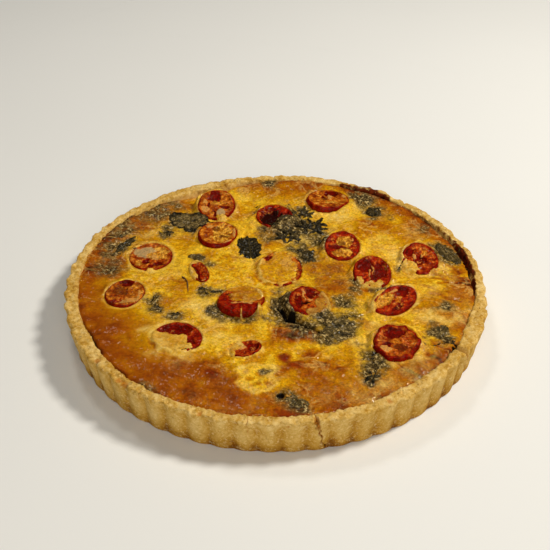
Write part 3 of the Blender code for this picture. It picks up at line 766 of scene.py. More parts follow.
def custard_material():
    """Baked custard and cheese: yellow, browned in blotches, with haze over leaves and a moist shine, olive in the
    hollows and near black in holes, cracks and gaps as painted shade.
    """
    s = Shader("baked_custard")
    broad = s.noise(15, 4, 0.6, 0.6)
    lumps = s.noise(5, 5, 0.6, 0.4)
    fine = s.noise(2.4, 4, 0.65)
    speck = s.noise(1.5, 4, 0.75)
    brown = s.mask("brown")
    rough = s.mask("rough")
    uneven = s.swing(s.swing(s.swing(0.0, broad, 0.36), lumps, 0.3), fine, 0.3)
    tone = s.math("ADD", brown, s.math("MULTIPLY", uneven, rough))
    tone = s.math("MULTIPLY", tone, 1 / 1.3, clamp=True)
    base = s.ramp(tone, (
        (0.0, colour(222, 176, 38)), (0.11, colour(199, 142, 2)), (0.27, colour(180, 119, 1)),
        (0.42, colour(165, 97, 1)), (0.54, colour(152, 79, 1)), (0.66, colour(137, 64, 2)),
        (0.78, colour(110, 46, 4)), (1.0, colour(50, 20, 4)),
    ))
    cream = s.band(s.swing(s.swing(s.mask("cream"), lumps, 0.35), fine, 0.3), 0.1, 1.0)
    cream_colour = s.ramp(fine, ((0.35, colour(240, 210, 122)), (0.65, colour(212, 164, 48))))
    base = s.mix(base, cream_colour, s.math("MULTIPLY", cream, 0.85))
    strands = s.math("ABSOLUTE", s.math("SUBTRACT", s.noise(13, 3, 0.55, 1.0), 0.5))
    strands = s.math("MULTIPLY", s.band(strands, 0.07, 0.0), s.band(broad, 0.42, 0.62))
    strands = s.math("MULTIPLY", strands, s.band(rough, 0.5, 1.2))
    base = s.mix(base, s.mix(base, colour(234, 196, 108), 0.5), s.math("MULTIPLY", strands, 0.75))
    juice = s.band(s.swing(s.mask("juice"), lumps, 0.35), 0.1, 0.95)
    base = s.mix(base, colour(122, 32, 4), s.math("MULTIPLY", juice, 0.8))
    # The haze mask: grey green from leaves that lie below, and painted shade in the hollows of the skin
    olive = s.band(s.swing(s.mask("green"), lumps, 0.15), 0.05, 0.6)
    base = s.mix(base, colour(124, 92, 40), s.math("MULTIPLY", olive, 0.55))
    haze = s.band(s.swing(s.swing(s.mask("green"), lumps, 0.25), fine, 0.45), 0.2, 0.75)
    haze_colour = s.ramp(s.swing(fine, speck, 0.5), (
        (0.3, colour(16, 13, 8)), (0.44, colour(46, 37, 20)), (0.56, colour(92, 75, 42)),
        (0.72, colour(188, 164, 110)),
    ))
    base = s.mix(base, haze_colour, s.math("MULTIPLY", haze, 0.95))
    grainy = s.math("MULTIPLY", rough, s.swing(0.8, cream, -0.3))
    base = s.mix(base, s.swing(1.0, s.swing(0.5, speck, 1.0), 0.62), grainy, "MULTIPLY")
    # Painted shade: near black in the holes, the cracks and the gaps at the edge
    base = s.mix(base, colour(16, 9, 5), s.band(s.mask("painted_shade"), 0.25, 0.7))
    normal = s.bumps(((lumps, 0.3), (fine, 0.3), (speck, 0.16)))
    wet = s.bumps(((s.noise(3.4, 1.0), 0.8),))
    return s.finish(base, 0.55, normal, wet, Specular_IOR_Level=0.03, Coat_Weight=0.17, Coat_Roughness=0.1)


def tomato_material():
    """Roasted tomato: a dark wet pulp in the chambers, dried orange flesh, bits of cheese and a tight skin, with
    painted shade in the deep hollows of the pulp.
    """
    s = Shader("roasted_tomato")
    lumps = s.noise(4.5, 4, 0.6, 0.5)
    fine = s.noise(2.2, 4, 0.7)
    speck = s.noise(1.3, 4, 0.75)
    tone = s.swing(s.swing(s.mask("tone"), lumps, 0.4), fine, 0.35)
    base = s.ramp(tone, (
        (0.0, colour(84, 3, 0)), (0.35, colour(124, 13, 1)), (0.65, colour(158, 40, 3)),
        (1.0, colour(190, 86, 20)),
    ))
    base = s.mix(base, colour(200, 118, 44), s.math("MULTIPLY", s.band(fine, 0.57, 0.68), 0.5))
    film = s.band(s.swing(s.swing(s.mask("film"), lumps, 0.25), fine, 0.25), 0.1, 0.95)
    film_colour = s.ramp(tone, (
        (0.05, colour(112, 38, 3)), (0.4, colour(160, 80, 10)), (0.65, colour(188, 112, 24)),
        (1.0, colour(222, 162, 66)),
    ))
    base = s.mix(base, film_colour, film)
    pool = s.band(s.swing(s.swing(s.mask("pool"), fine, 0.35), lumps, 0.25), 0.2, 0.95)
    pool_colour = s.ramp(s.swing(tone, speck, 0.3), (
        (0.1, colour(128, 68, 8)), (0.45, colour(176, 112, 22)), (0.8, colour(218, 164, 60)),
    ))
    base = s.mix(base, pool_colour, pool)
    gel = s.band(s.swing(s.mask("gel"), fine, 0.2), 0.2, 0.75)
    base = s.mix(base, s.ramp(lumps, ((0.3, colour(62, 2, 0)), (0.7, colour(122, 12, 0)))), gel)
    skin_colour = s.ramp(tone, ((0.1, colour(90, 3, 0)), (0.55, colour(126, 14, 1)), (1.0, colour(164, 48, 5))))
    base = s.mix(base, skin_colour, s.mask("skin"))
    cream = s.band(s.swing(s.swing(s.mask("cream"), fine, 0.45), lumps, 0.25), 0.25, 0.95)
    cream_colour = s.mix(
        s.ramp(speck, ((0.35, colour(232, 180, 96)), (0.65, colour(176, 110, 44)))),
        s.ramp(speck, ((0.35, colour(206, 184, 132)), (0.65, colour(140, 112, 70)))),
        s.mask("grey"),
    )
    base = s.mix(base, cream_colour, s.math("MULTIPLY", cream, 0.8))
    seeds = s.math("MULTIPLY", s.mask("seeds"), s.band(fine, 0.5, 0.62))
    base = s.mix(base, colour(200, 124, 50), s.math("MULTIPLY", seeds, 0.85))
    browned = s.band(s.swing(s.mask("brown"), fine, 0.4), 0.3, 1.0)
    base = s.mix(base, colour(70, 20, 3), s.math("MULTIPLY", browned, 0.7))
    base = s.mix(base, s.swing(1.0, s.swing(0.5, speck, 1.0), 1.1), 1.0, "MULTIPLY")
    base = s.mix(base, colour(226, 128, 52), s.math("MULTIPLY", s.band(speck, 0.4, 0.3), 0.3))
    # Painted shade: near black in the deep hollows of the pulp
    base = s.mix(base, colour(24, 3, 1), s.band(s.mask("painted_shade"), 0.2, 0.8))
    normal = s.bumps(((lumps, 0.35), (fine, 0.3), (speck, 0.12)))
    wet = s.bumps(((s.noise(2.8, 1.0), 1.1),))
    return s.finish(base, 0.55, normal, wet, Specular_IOR_Level=0.02, Coat_Weight=0.1, Coat_Roughness=0.1)


def leaf_material():
    """Wilted leaves: near black where bare, olive grey under a film of custard, with paler veins."""
    s = Shader("wilted_leaf")
    lumps = s.noise(4, 4, 0.6)
    fine = s.noise(1.9, 4, 0.7)
    speck = s.noise(1.4, 4, 0.75)
    tone = s.swing(s.swing(s.mask("tone"), lumps, 0.3), fine, 0.3)
    base = s.ramp(tone, (
        (0.0, colour(14, 11, 6)), (0.3, colour(30, 24, 11)), (0.6, colour(58, 46, 20)), (1.0, colour(98, 76, 34)),
    ))
    base = s.mix(base, colour(104, 88, 48), s.math("MULTIPLY", s.mask("vein"), 0.3))
    base = s.mix(base, colour(168, 148, 100), s.math("MULTIPLY", s.band(speck, 0.42, 0.3), 0.7))
    film = s.band(s.swing(s.swing(s.mask("film"), fine, 0.5), lumps, 0.3), 0.2, 0.95)
    film_colour = s.ramp(s.swing(speck, fine, 0.4), (
        (0.3, colour(176, 152, 98)), (0.46, colour(112, 92, 52)), (0.64, colour(48, 38, 18)),
    ))
    base = s.mix(base, film_colour, s.math("MULTIPLY", film, 0.9))
    normal = s.bumps(((lumps, 0.4), (fine, 0.35), (speck, 0.12)))
    wet = s.bumps(((s.noise(3.0, 1.0), 0.8),))
    return s.finish(base, 0.55, normal, wet, Specular_IOR_Level=0.03, Coat_Weight=0.3, Coat_Roughness=0.12)


def stem_material():
    s = Shader("dried_stem")
    lumps = s.noise(3, 3)
    base = s.ramp(lumps, ((0.3, colour(62, 34, 12)), (0.7, colour(120, 72, 26))))
    return s.finish(base, 0.6, s.bumps(((lumps, 0.1),)))


def floor_material():
    s = Shader("studio_floor")
    grain = s.noise(400, 2)
    base = s.ramp(grain, ((0.3, (0.79, 0.80, 0.82, 1)), (0.7, (0.81, 0.82, 0.84, 1))))
    return s.finish(base, 0.9, s.bumps(((grain, 0.1),)), Specular_IOR_Level=0.2)


# ---------------------------------------------------------------------------------------------------------
# Where the solids lie
# ---------------------------------------------------------------------------------------------------------


def solid_points(node):
    """The different corner points of a CAD solid."""
    points = np.array([vertex.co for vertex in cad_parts[node].data.vertices]) / MM
    return np.unique(points.round(3), axis=0)


class Plate:
    """The place, the tilt and the half sizes of a flat piece, worked out from its CAD solid."""

    def __init__(self, node):
        points = solid_points(node)
        middle = points.mean(axis=0)
        axes = np.linalg.svd(points - middle, full_matrices=False)[2]
        self.up = axes[2] * np.sign(axes[2][2])
        self.long = axes[0] * (1 if axes[0] @ (1, 1, 0) > 0 else -1)
        self.short = np.cross(self.up, self.long)
        across = (points - middle) @ np.stack((self.long, self.short, self.up)).T
        self.half_long, self.half_short = np.ptp(across, axis=0)[:2] / 2
        self.top = middle + self.up * across[:, 2].max()
        right = np.cross(np.cross(self.up, (1.0, 0.0, 0.0)), self.up)
        self.right = right / np.linalg.norm(right)
        self.back = np.cross(self.up, self.right)

    def place(self, x, y):
        """Offsets along the long and the short side, and the height of the plate's plane, above plan points."""
        dx, dy = x - self.top[0], y - self.top[1]
        dz = -(self.up[0] * dx + self.up[1] * dy) / self.up[2]
        offset = np.stack((dx, dy, dz), axis=1)
        return offset @ self.long, offset @ self.short, self.top[2] + dz


class Slice(Plate):
    """A tomato slice, with the marks of its cut face in shares of its half sizes."""

    def __init__(self, node):
        super().__init__(node)
        self.node = node
        self.look = SLICES[node]
        turned = self.look.get("along", False)
        self.face_x = self.long if turned else self.right
        self.face_y = self.short if turned else self.back
        self.half_x = self.half_size(self.face_x)
        self.half_y = self.half_size(self.face_y)

    def half_size(self, way):
        """Half the size of the face along a direction in its plane."""
        return math.hypot(way @ self.long * self.half_long, way @ self.short * self.half_short)

    def reach(self, along, across):
        """0 in the middle and 1 at the outline."""
        return np.hypot(along / self.half_long, across / self.half_short)

    def spot(self, x, y):
        """Plan points in shares of the half sizes, from the right and the back of the face."""
        along, across, _ = self.place(x, y)
        u = (along * (self.long @ self.face_x) + across * (self.short @ self.face_x)) / self.half_x
        v = (along * (self.long @ self.face_y) + across * (self.short @ self.face_y)) / self.half_y
        return u, v

    def bared(self, x, y):
        """1 on the side where the skin stands clear of the custard, and 0 elsewhere."""
        u, v = self.spot(x, y)
        bare_u, bare_v = self.look.get("bare", (0, 0))
        return step((u * bare_u + v * bare_v) / (np.hypot(u, v) + 1e-6), 0.1, 0.8)

    def cover(self, x, y):
        """How much custard or cheese lies over the cut face at plan points, from 0 to 1."""
        u, v = self.spot(x, y)
        ragged = 0.24 * crumble(flat(x, y), 5) + 0.14 * crumble(flat(x, y), 2)
        most = np.zeros_like(x)
        for cu, cv, ru, rv in self.look.get("cover", ()):
            most = np.maximum(most, step(np.hypot((u - cu) / ru, (v - cv) / rv) + ragged, 1.15, 0.85))
        return most


# ---------------------------------------------------------------------------------------------------------
# The custard
# ---------------------------------------------------------------------------------------------------------


def inner_radius(height, angle):
    """The radius of the inside of the case's wall."""
    share = (height - CASE_FLOOR) / (CASE_HEIGHT - CASE_FLOOR)
    plain = INNER_FLOOR_RADIUS + share * (CASE_RADIUS - RIM_WIDTH - INNER_FLOOR_RADIUS)
    return plain + bump_at(angle, INNER_EDGES) * step(share, 0.2, 1.0)


def edge_distance(x, y):
    """How far plan points are from the case's inside, in mm."""
    return inner_radius(CUSTARD_LEVEL, np.degrees(np.arctan2(y, x))) - np.hypot(x, y)


def fine_relief(x, y):
    """The small ups and downs of the custard's skin: bubbles, strands of cheese and folds."""
    points = flat(x, y)
    flow = flat(x + 3 * lumpy(points + 17, 11), y + 3 * lumpy(points + 77, 11))
    ridges = 1 - np.abs(lumpy(flow + 33, 10))
    strands = 1 - np.abs(crumble(flow + 95, 5.5))
    bubbles = step(crumble(flow + 60, 6.5), 0.15, 0.75)
    relief = 0.4 * lumpy(flow, 8) + 0.22 * crumble(flow, 3.4) + 0.13 * crumble(points, 2.1) + 0.5 * bubbles
    relief += 0.5 * (ridges**3 - 0.5) * step(lumpy(points + 21, 30), -0.5, 0.6)
    relief += 0.4 * (strands**4 - 0.3) * step(lumpy(points + 44, 22), -0.3, 0.6)
    for cx, cy, radius, direction, depth in WRINKLES:
        turn = math.radians(direction)
        ahead = (x - cx) * math.cos(turn) + (y - cy) * math.sin(turn)
        across = (y - cy) * math.cos(turn) - (x - cx) * math.sin(turn)
        fade = np.exp(-((x - cx) ** 2 + (y - cy) ** 2) / radius**2)
        relief += depth * fade * crumble(flat(ahead * 0.22 + cx, across + 1.5 * lumpy(points, 9)), 2.4)
    return relief * (1.25 - 0.6 * np.clip(patches(x, y, SKIN), -1, 1))


def bare_custard(x, y):
    """The height of the custard before it meets the slices."""
    points = flat(x, y)
    edge = edge_distance(x, y)
    height = CUSTARD_LEVEL + hills(x, y, SWELLS) + hills(x, y, BLISTERS) + 0.7 * lumpy.layers(points, 19, 2)
    height += fine_relief(x, y) + bump_at(np.degrees(np.arctan2(y, x)), CUSTARD_EDGES) * step(edge, 15, 1)
    height += 0.5 * step(edge, 9, 3) * lumpy(points, 13) - 0.6 * step(edge, 2.2, 0.2)
    return height - 3.5 * gap_share(x, y)


def gap_share(x, y):
    """1 in the gaps at the edge of the custard, which are sunk and painted dark as shade."""
    width = bump_at(np.degrees(np.arctan2(y, x)), EDGE_GAPS) * (1 + 0.5 * crumble(flat(x, y), 4))
    return step(edge_distance(x, y) - width, 0.6, -0.4) * (width > 0.2)


def custard_height(x, y):
    """The height of the custard's top, with what has crept over the slices and what hides under them."""
    height = bare_custard(x, y)
    for part in slices:
        along, across, face = part.place(x, y)
        reach = part.reach(along, across)
        near = reach < 1.5
        if not near.any():
            continue
        reach = reach[near]
        face = face[near]
        px, py = x[near], y[near]
        here = height[near]
        crept = np.minimum(face - 0.1 + 0.35 * lumpy(flat(px, py), 6), MODEL_TOP - 0.4)
        clear = np.minimum(here + 0.4, face - 1.6)
        level = blend(crept, clear, part.bared(px, py))
        uneven = reach * (1 + 0.14 * lumpy(flat(px, py) + 50, 9)) + 0.05 * crumble(flat(px, py), 4)
        here = blend(here, level, step(uneven, 1.42, 1.06))
        under = face - 3.2
        over = face + 0.4 + 0.5 * crumble(flat(px, py), 4) + 0.3 * crumble(flat(px, py) + 9, 2.1)
        inside = blend(under, over, part.cover(px, py))
        height[near] = blend(here, inside, step(reach, 1.03, 0.93))
        spill = part.cover(px, py) * step(reach, 1.35, 1.0) * (reach >= 0.93)
        height[near] = blend(height[near], np.maximum(height[near], over - 0.5), spill)
        outline = np.exp(-(((reach - 0.98) / 0.09) ** 2)) - np.exp(-(((reach - 1.17) / 0.09) ** 2))
        height[near] += 0.9 * outline * part.cover(px, py)
    for cx, cy, radius, depth in HOLES:
        height -= depth * step(np.hypot(x - cx, y - cy) / radius + 0.2 * crumble(flat(x, y), 3), 1.15, 0.5)
    for line, half_width, amount in STREAKS:
        height -= 1.2 * amount * step(line_distance(x, y, line) + 0.5 * crumble(flat(x, y), 3), 2 * half_width, 0)
    for line, half_width, depth in CUSTARD_CRACKS:
        height -= depth * step(line_distance(x, y, line) + 0.3 * crumble(flat(x, y), 2.5), half_width * 1.6, 0.2)
    return height


def top_height(x, y):
    """The height of what shows at plan points: the custard, or a slice that stands over it."""
    height = custard_height(x, y)
    for part in slices:
        along, across, face = part.place(x, y)
        height = np.where(part.reach(along, across) < 1, np.maximum(height, face - 0.3), height)
    return height


def custard_masks(x, y):
    points = flat(x, y)
    wx = x + 2.6 * lumpy(points + 7, 12) + 1.1 * crumble(points, 5)
    wy = y + 2.6 * lumpy(points + 57, 12) + 1.1 * crumble(points + 31, 5)
    relief = fine_relief(x, y)
    brown = patches(wx, wy, BROWNING) * (1 + 0.3 * lumpy.layers(points, 9, 3)) + 0.07 + 0.08 * lumpy(points, 24)
    brown += 0.14 * relief * (0.4 + brown)
    brown += 0.25 * step(edge_distance(x, y), 5, 0.5) * (0.6 + 0.6 * lumpy(points, 9))
    green = patches(wx, wy, HAZE) * (1 + 0.45 * lumpy.layers(points + 20, 7, 3))
    # Olive grey in the hollows of the skin: painted shade
    green = np.maximum(green, 0.3 * step(relief, -0.1, -0.8))
    cream = patches(wx, wy, PALE) * (1 + 0.7 * lumpy.layers(points + 40, 8, 3))
    for outline, strength in CHEESE_POOLS:
        pool = outline_share(x + 0.6 * (wx - x), y + 0.6 * (wy - y), outline, 2.2)
        brown *= 1 - 0.85 * min(1, strength) * pool
        inner_part = outline_share(x + 0.6 * (wx - x), y + 0.6 * (wy - y), outline, 7.0)
        cream = np.maximum(cream, strength * pool * (0.95 - 0.75 * inner_part * (1 + 0.8 * lumpy(points + 5, 6))))
    brown += patches(wx, wy, SPOTS)
    for line, half_width, amount in STREAKS:
        away = line_distance(wx, wy, line) + 0.5 * crumble(points + 12, 3)
        brown += amount * step(away, 1.8 * half_width, 0.2 * half_width)
    juice = patches(wx, wy, JUICE) * (1 + 0.6 * lumpy.layers(points + 60, 5, 2))
    painted_shade = np.zeros_like(x)
    for part in slices:
        along, across, _ = part.place(x, y)
        reach = part.reach(along, across)
        over = part.cover(x, y)
        cover = over * step(reach, 1.1, 0.95)
        tone = part.look.get("over", {})
        uneven = reach + 0.16 * lumpy(points + 50, 8) + 0.06 * crumble(points, 4)
        halo = part.look.get("halo", 0.4) * step(uneven, 1.36, 1.08) * (1 + lumpy(points, 6))
        brown = blend(brown, tone.get("brown", 0.35) * (1 + 0.7 * lumpy(points + 15, 5)), cover * 0.85)
        brown *= 1 - np.clip(0.7 * halo, 0, 0.8) * (1 - cover)
        streaks = 1 + 0.8 * crumble(points + 25, 4.5)
        cream = blend(np.maximum(cream, halo), tone.get("cream", 0.5) * streaks, cover * 0.9)
        # Paler on the raised outline of a covered slice and browner in the groove beside it: painted highlight and
        # painted shade along that relief
        cream = np.maximum(cream, 0.9 * over * np.exp(-(((uneven - 1.0) / 0.08) ** 2)))
        brown += 0.4 * over * np.exp(-(((uneven - 1.17) / 0.07) ** 2))
        seam = step(reach, 1.13, 1.02) * (0.5 + 0.7 * crumble(points, 4))
        brown = np.maximum(brown, 0.75 * seam * (1 - cover))
        juice = np.maximum(juice * (1 - cover), 0.3 * step(reach, 1.12, 1.0) * (1 - cover))
        juice = np.maximum(juice, cover * tone.get("juice", 0.15))
        green = blend(green, tone.get("green", 0.1), 0.85 * cover)
    # Painted shade in the gaps at the edge, the holes and the cracks
    painted_shade = np.maximum(painted_shade, 0.8 * gap_share(x, y))
    for cx, cy, radius, _ in HOLES:
        hole = np.hypot(x - cx, y - cy) / radius + 0.2 * crumble(points, 3)
        painted_shade = np.maximum(painted_shade, step(hole, 1.0, 0.6))
    for line, half_width, _ in CUSTARD_CRACKS:
        crack = line_distance(x, y, line) + 0.3 * crumble(points, 2.5)
        painted_shade = np.maximum(painted_shade, step(crack, half_width * 1.2, 0.1))
    rough = 1.1 - 0.8 * np.clip(patches(x, y, SKIN), -1, 1) + 0.2 * lumpy(points + 90, 16)
    return dict(brown=brown, cream=cream, green=green, juice=juice, painted_shade=painted_shade, rough=np.clip(rough, 0, 1.7))


def on_disc(u, v):
    """Maps the square from -1 to 1 onto the unit disc with nearly even cells."""
    steep = np.abs(v) > np.abs(u)
    radius = np.where(steep, v, u)
    safe = np.where(radius == 0, 1, radius)
    angle = np.where(steep, math.pi / 2 - math.pi / 4 * u / safe, math.pi / 4 * v / safe)
    return radius * np.cos(angle), radius * np.sin(angle)


def make_custard(material):
    """A fine sheet for the top, closed by a plain side and bottom inside the case."""
    cells = CUSTARD_CELLS
    side = np.linspace(-1, 1, cells + 1)
    u, v = (grid.ravel() for grid in np.meshgrid(side, side))
    x, y = on_disc(u, v)
    angle = np.degrees(np.arctan2(y, x))
    reach = inner_radius(CUSTARD_LEVEL, angle) + 0.5
    x, y = x * reach, y * reach
    height = custard_height(x, y)
    across = cells + 1
    corner = np.arange(across * across).reshape(across, across)
    faces = np.stack((corner[:-1, :-1], corner[:-1, 1:], corner[1:, 1:], corner[1:, :-1]), axis=-1)
    faces = [tuple(face) for face in faces.reshape(-1, 4).tolist()]
    edge = [*corner[0, :-1], *corner[:-1, -1], *corner[-1, :0:-1], *corner[:0:-1, 0]]
    top = np.stack((x, y, height), axis=1)
    low = top[edge] * (0.965, 0.965, 0) + (0, 0, CASE_FLOOR)
    points = np.concatenate((top, low, [(0, 0, CASE_FLOOR)]))
    start, centre, count = len(top), len(points) - 1, len(edge)
    for i in range(count):
        j = (i + 1) % count
        faces.append((int(edge[j]), int(edge[i]), start + i, start + j))
        faces.append((start + j, start + i, centre))
    masks = custard_masks(points[:, 0], points[:, 1])
    return add_piece("custard", points, faces, material, masks, "filling")


# ---------------------------------------------------------------------------------------------------------
# The tomato slices
# ---------------------------------------------------------------------------------------------------------

MARKS = {
    # kind: the height in mm, and the masks that it sets
    "gel": (-1.2, dict(gel=1.0, film=0.0, cream=0.0, grey=0.0, pool=0.0)),
    # deep: a hollow in the pulp, with painted shade in it
    "deep": (-2.2, dict(gel=1.0, painted_shade=0.7)),
    "amber": (-0.5, dict(film=1.0, gel=0.0, cream=0.0)),
    "orange": (0.2, dict(film=0.45, gel=0.0)),
    "flesh": (0.2, dict(film=0.6, gel=0.0, cream=0.15)),
    "pool": (-0.4, dict(pool=1.0, gel=0.0, cream=0.0)),
    "pale": (-0.2, dict(pool=0.8, cream=0.35, gel=0.0)),
    "cream": (0.35, dict(cream=1.0, gel=0.0)),
    "grey": (0.2, dict(cream=1.0, grey=1.0, gel=0.0)),
    "skin": (0.5, dict(skin=1.0, film=0.0, gel=0.0, cream=0.0)),
    "spot": (-0.25, dict(brown=1.0)),
    "seeds": (0.1, dict(seeds=1.0)),
}
SKIN_PROFILE = ((1.0, -0.45), (1.03, -1.2), (1.04, -2.3), (1.03, -3.6), (0.98, -5.2), (0.88, -7.0))


def make_slice(part, material):
    """A cut face with its chambers, a skin that stands a little proud of it, and the side below."""
    look = part.look
    shares = np.concatenate((np.linspace(0, 0.985, SLICE_RINGS)[1:], [share for share, _ in SKIN_PROFILE]))
    drops = np.concatenate((np.zeros(SLICE_RINGS - 1), [drop for _, drop in SKIN_PROFILE]))
    angle = np.arange(SLICE_AROUND) * 2 * math.pi / SLICE_AROUND
    way = np.cos(angle)[:, None] * part.face_x + np.sin(angle)[:, None] * part.face_y
    radius = 1 / np.hypot(way @ part.long / part.half_long, way @ part.short / part.half_short)
    rim_points = part.top + way * radius[:, None]
    knobs = look.get("knobs", 0.035)
    radius = radius * (1 + knobs * lumpy.layers(rim_points, 7, 2) + 0.4 * knobs * crumble(rim_points, 2.5))
    share = np.repeat(shares, SLICE_AROUND)
    drop = np.repeat(drops, SLICE_AROUND)
    offset = np.tile(way * radius[:, None], (len(shares), 1)) * share[:, None]
    points = np.concatenate((part.top + offset, [part.top]))
    share, drop = np.append(share, 0), np.append(drop, 0)
    spread = points - part.top
    u = spread @ part.face_x / part.half_x
    v = spread @ part.face_y / part.half_y
    turn = np.arctan2(v, u)
    fibre = crumble(np.stack((3.2 * np.cos(turn), 3.2 * np.sin(turn), 1.6 * share), axis=1) + part.top, 0.75)
    u = u + 0.09 * lumpy(points + 3, 5) + 0.06 * crumble(points + 9, 2.4)
    v = v + 0.09 * lumpy(points + 43, 5) + 0.06 * crumble(points + 49, 2.4)

    masks = {name: np.zeros(len(points)) for name in ("gel", "cream", "grey", "seeds", "painted_shade", "pool", "skin")}
    masks["tone"] = 0.5 + 0.5 * fibre * step(share, 0.1, 0.5) + 0.25 * crumble(points, 2.0)
    masks["film"] = np.full(len(points), float(look["film"]))
    masks["brown"] = look["brown"] * (1 + 0.6 * lumpy(points, 5))
    relief = -0.5 * (1 - share**2)
    ragged = 0.26 * crumble(points, 3.2) + 0.16 * crumble(points, 1.6)
    for kind, cu, cv, ru, rv in look["marks"]:
        weight = step(np.hypot((u - cu) / ru, (v - cv) / rv) + ragged, 1.2, 0.74)
        height, changes = MARKS[kind]
        if kind != "seeds":
            relief = blend(relief, height - 0.3, weight)
        for name, value in changes.items():
            masks[name] = blend(masks[name], value, weight)

    ring = look.get("ring", 0.9)
    skin = step(share + 0.05 * lumpy(points, 5) + 0.035 * crumble(points, 1.8), ring, ring + 0.08)
    skin *= 1 - 0.35 * step(fibre + 0.4 * crumble(points + 71, 1.5), 0.25, 0.7) * (drop == 0)
    edge_height = look["rim"] * (0.6 + 0.7 * lumpy.layers(points, 6, 2)) - 0.45 * step(share, 0.95, 1.0)
    relief = blend(relief, edge_height, step(share + 0.06 * lumpy(points, 4), 0.76, 0.9))
    for name in ("gel", "cream", "grey", "seeds", "painted_shade", "film", "pool"):
        masks[name] = blend(masks[name], 0.0, skin)
    masks["skin"] = np.maximum(masks["skin"], skin)
    relief += 0.26 * lumpy.layers(points, 4.5, 2) + 0.16 * crumble(points, 1.8) + 0.22 * fibre * step(share, 0.3, 0.8)
    relief = np.where(drop < 0, edge_height + 0.12 * crumble(points, 2.2), relief) + drop
    points = points + relief[:, None] * part.up

    rings = len(shares)
    centre = rings * SLICE_AROUND
    faces = disc_faces(rings, SLICE_AROUND, centre, 0)
    last = (rings - 1) * SLICE_AROUND
    below = part.top - 7.5 * part.up
    points = np.concatenate((points, [below]))
    masks = {name: np.append(values, 0) for name, values in masks.items()}
    faces += [(centre + 1, last + (i + 1) % SLICE_AROUND, last + i) for i in range(SLICE_AROUND)]
    return add_piece(part.node + "_roasted", points, faces, material, masks, part.node)


# ---------------------------------------------------------------------------------------------------------
# The leaves
# ---------------------------------------------------------------------------------------------------------

BLADE_AROUND = 120
BLADE_RINGS = 12
# Leaflets of a parsley leaf, in shares of its half sizes: (along, across, turn in degrees, length, width)
FROND = ((0.3, 0.0, 0, 0.75, 0.62), (-0.15, 0.42, 52, 0.72, 0.55), (-0.15, -0.42, -52, 0.72, 0.55))


def ragged_outline(angle, places):
    """A blunt leaf with a torn edge."""
    square = (np.abs(np.cos(angle)) ** 2.8 + np.abs(np.sin(angle)) ** 2.8) ** (-1 / 2.8)
    return square * (0.9 + 0.22 * lumpy.layers(places, 7, 2) + 0.12 * crumble(places, 2.4))


def oval_outline(angle, places):
    return 0.97 + 0.12 * lumpy(places, 9) + 0.06 * crumble(places, 3) - 0.1 * np.abs(np.sin(angle))


def curled_outline(angle, places):
    waist = 1 - 0.38 * np.abs(np.sin(angle)) * (1 + lumpy(places, 7))
    return waist * (0.95 + 0.15 * crumble(places, 3.5))


def star_outline(angle, places):
    """A few thin bent tips of different lengths."""
    tips = np.abs(np.cos(2.5 * angle + 0.4 + 0.5 * lumpy(places, 9))) ** 2.2
    return 0.3 + (0.75 + 0.4 * lumpy(places + 13, 6)) * tips + 0.14 * crumble(places, 2.6)


def leaflet_outline(angle, places):
    """Five pointed lobes with teeth, drawn in to a stalk at the back."""
    lobes = 1 - np.abs((angle * 5 / (2 * math.pi) + 0.5) % 1 - 0.5) * 2
    teeth = 1 - np.abs((angle * 17 / (2 * math.pi) + 0.3) % 1 - 0.5) * 2
    stalk = 0.45 * np.exp(-(((np.abs(angle) - math.pi) / 0.45) ** 2))
    return 0.3 + 0.72 * lobes**1.5 + 0.17 * teeth - stalk + 0.18 * crumble(places, 2.5)


OUTLINES = dict(ragged=ragged_outline, oval=oval_outline, curled=curled_outline, star=star_outline)


def add_blade(join, middle, heading, half_long, half_short, outline, look, around=BLADE_AROUND, steps=BLADE_RINGS):
    """One thin leaf blade that drapes over what lies under it."""
    angle = np.linspace(-math.pi, math.pi, around, endpoint=False)
    ring_places = flat(np.cos(angle) * half_long + middle[0], np.sin(angle) * half_short + middle[1])
    radius = outline(angle, ring_places)
    share = np.repeat(np.linspace(0, 1, steps)[1:] ** 0.85, around)
    along = share * np.tile(np.cos(angle) * radius, steps - 1)
    across = share * np.tile(np.sin(angle) * radius, steps - 1)
    share, along, across = (np.append(values, 0.0) for values in (share, along, across))
    turn = math.radians(heading)
    x = middle[0] + along * half_long * math.cos(turn) - across * half_short * math.sin(turn)
    y = middle[1] + along * half_long * math.sin(turn) + across * half_short * math.cos(turn)
    places = flat(x, y)
    size = min(half_long, half_short)
    rib = np.exp(-((across * half_short / 0.45) ** 2))
    branch = (along * half_long - np.abs(across) * half_short * 0.9) / 3.4
    veins = np.exp(-(((branch - np.floor(branch) - 0.5) / 0.13) ** 2)) * step(np.abs(across), 0.04, 0.12)
    crinkle = 0.7 * lumpy.layers(places, 0.5 * size + 2.0, 3) + 0.3 * crumble(places, 2.1)
    lift = look["lift"] * (0.5 + 0.9 * lumpy(places + 11, 1.2 * size)) * (1 - 0.55 * share**3)
    height = top_height(x, y) + 0.2 + np.maximum(lift, -0.5) + crinkle + 0.16 * veins - 0.3 * rib
    height -= (0.4 + 1.3 * step(lumpy(places + 70, 5), 0.0, 0.6)) * share**5
    top = np.stack((x, y, height), axis=1)
    low = top - (0, 0, 0.7)
    rings = steps - 1
    count = rings * around + 1
    up_faces = disc_faces(rings, around, count - 1, 0)
    down_faces = [tuple(i + count for i in reversed(face)) for face in up_faces]
    last = (rings - 1) * around
    ring = [last + i for i in range(around)]
    side_faces = []
    for i, j in zip(ring, ring[1:] + ring[:1]):
        side_faces.append((j, i, i + count, j + count))
    film = look["film"] * (1.2 * lumpy.layers(places + 5, 4.5, 3) + 0.9 + look.get("edge", 0.35) * share**5)
    masks = dict(
        tone=np.full(count, look["tone"]) + 0.2 * lumpy(places, 5),
        film=np.clip(film, 0, 1),
        vein=np.maximum(rib, veins),
    )
    join.add(np.concatenate((top, low)), up_faces + down_faces + side_faces,
             {name: np.tile(values, 2) for name, values in masks.items()})


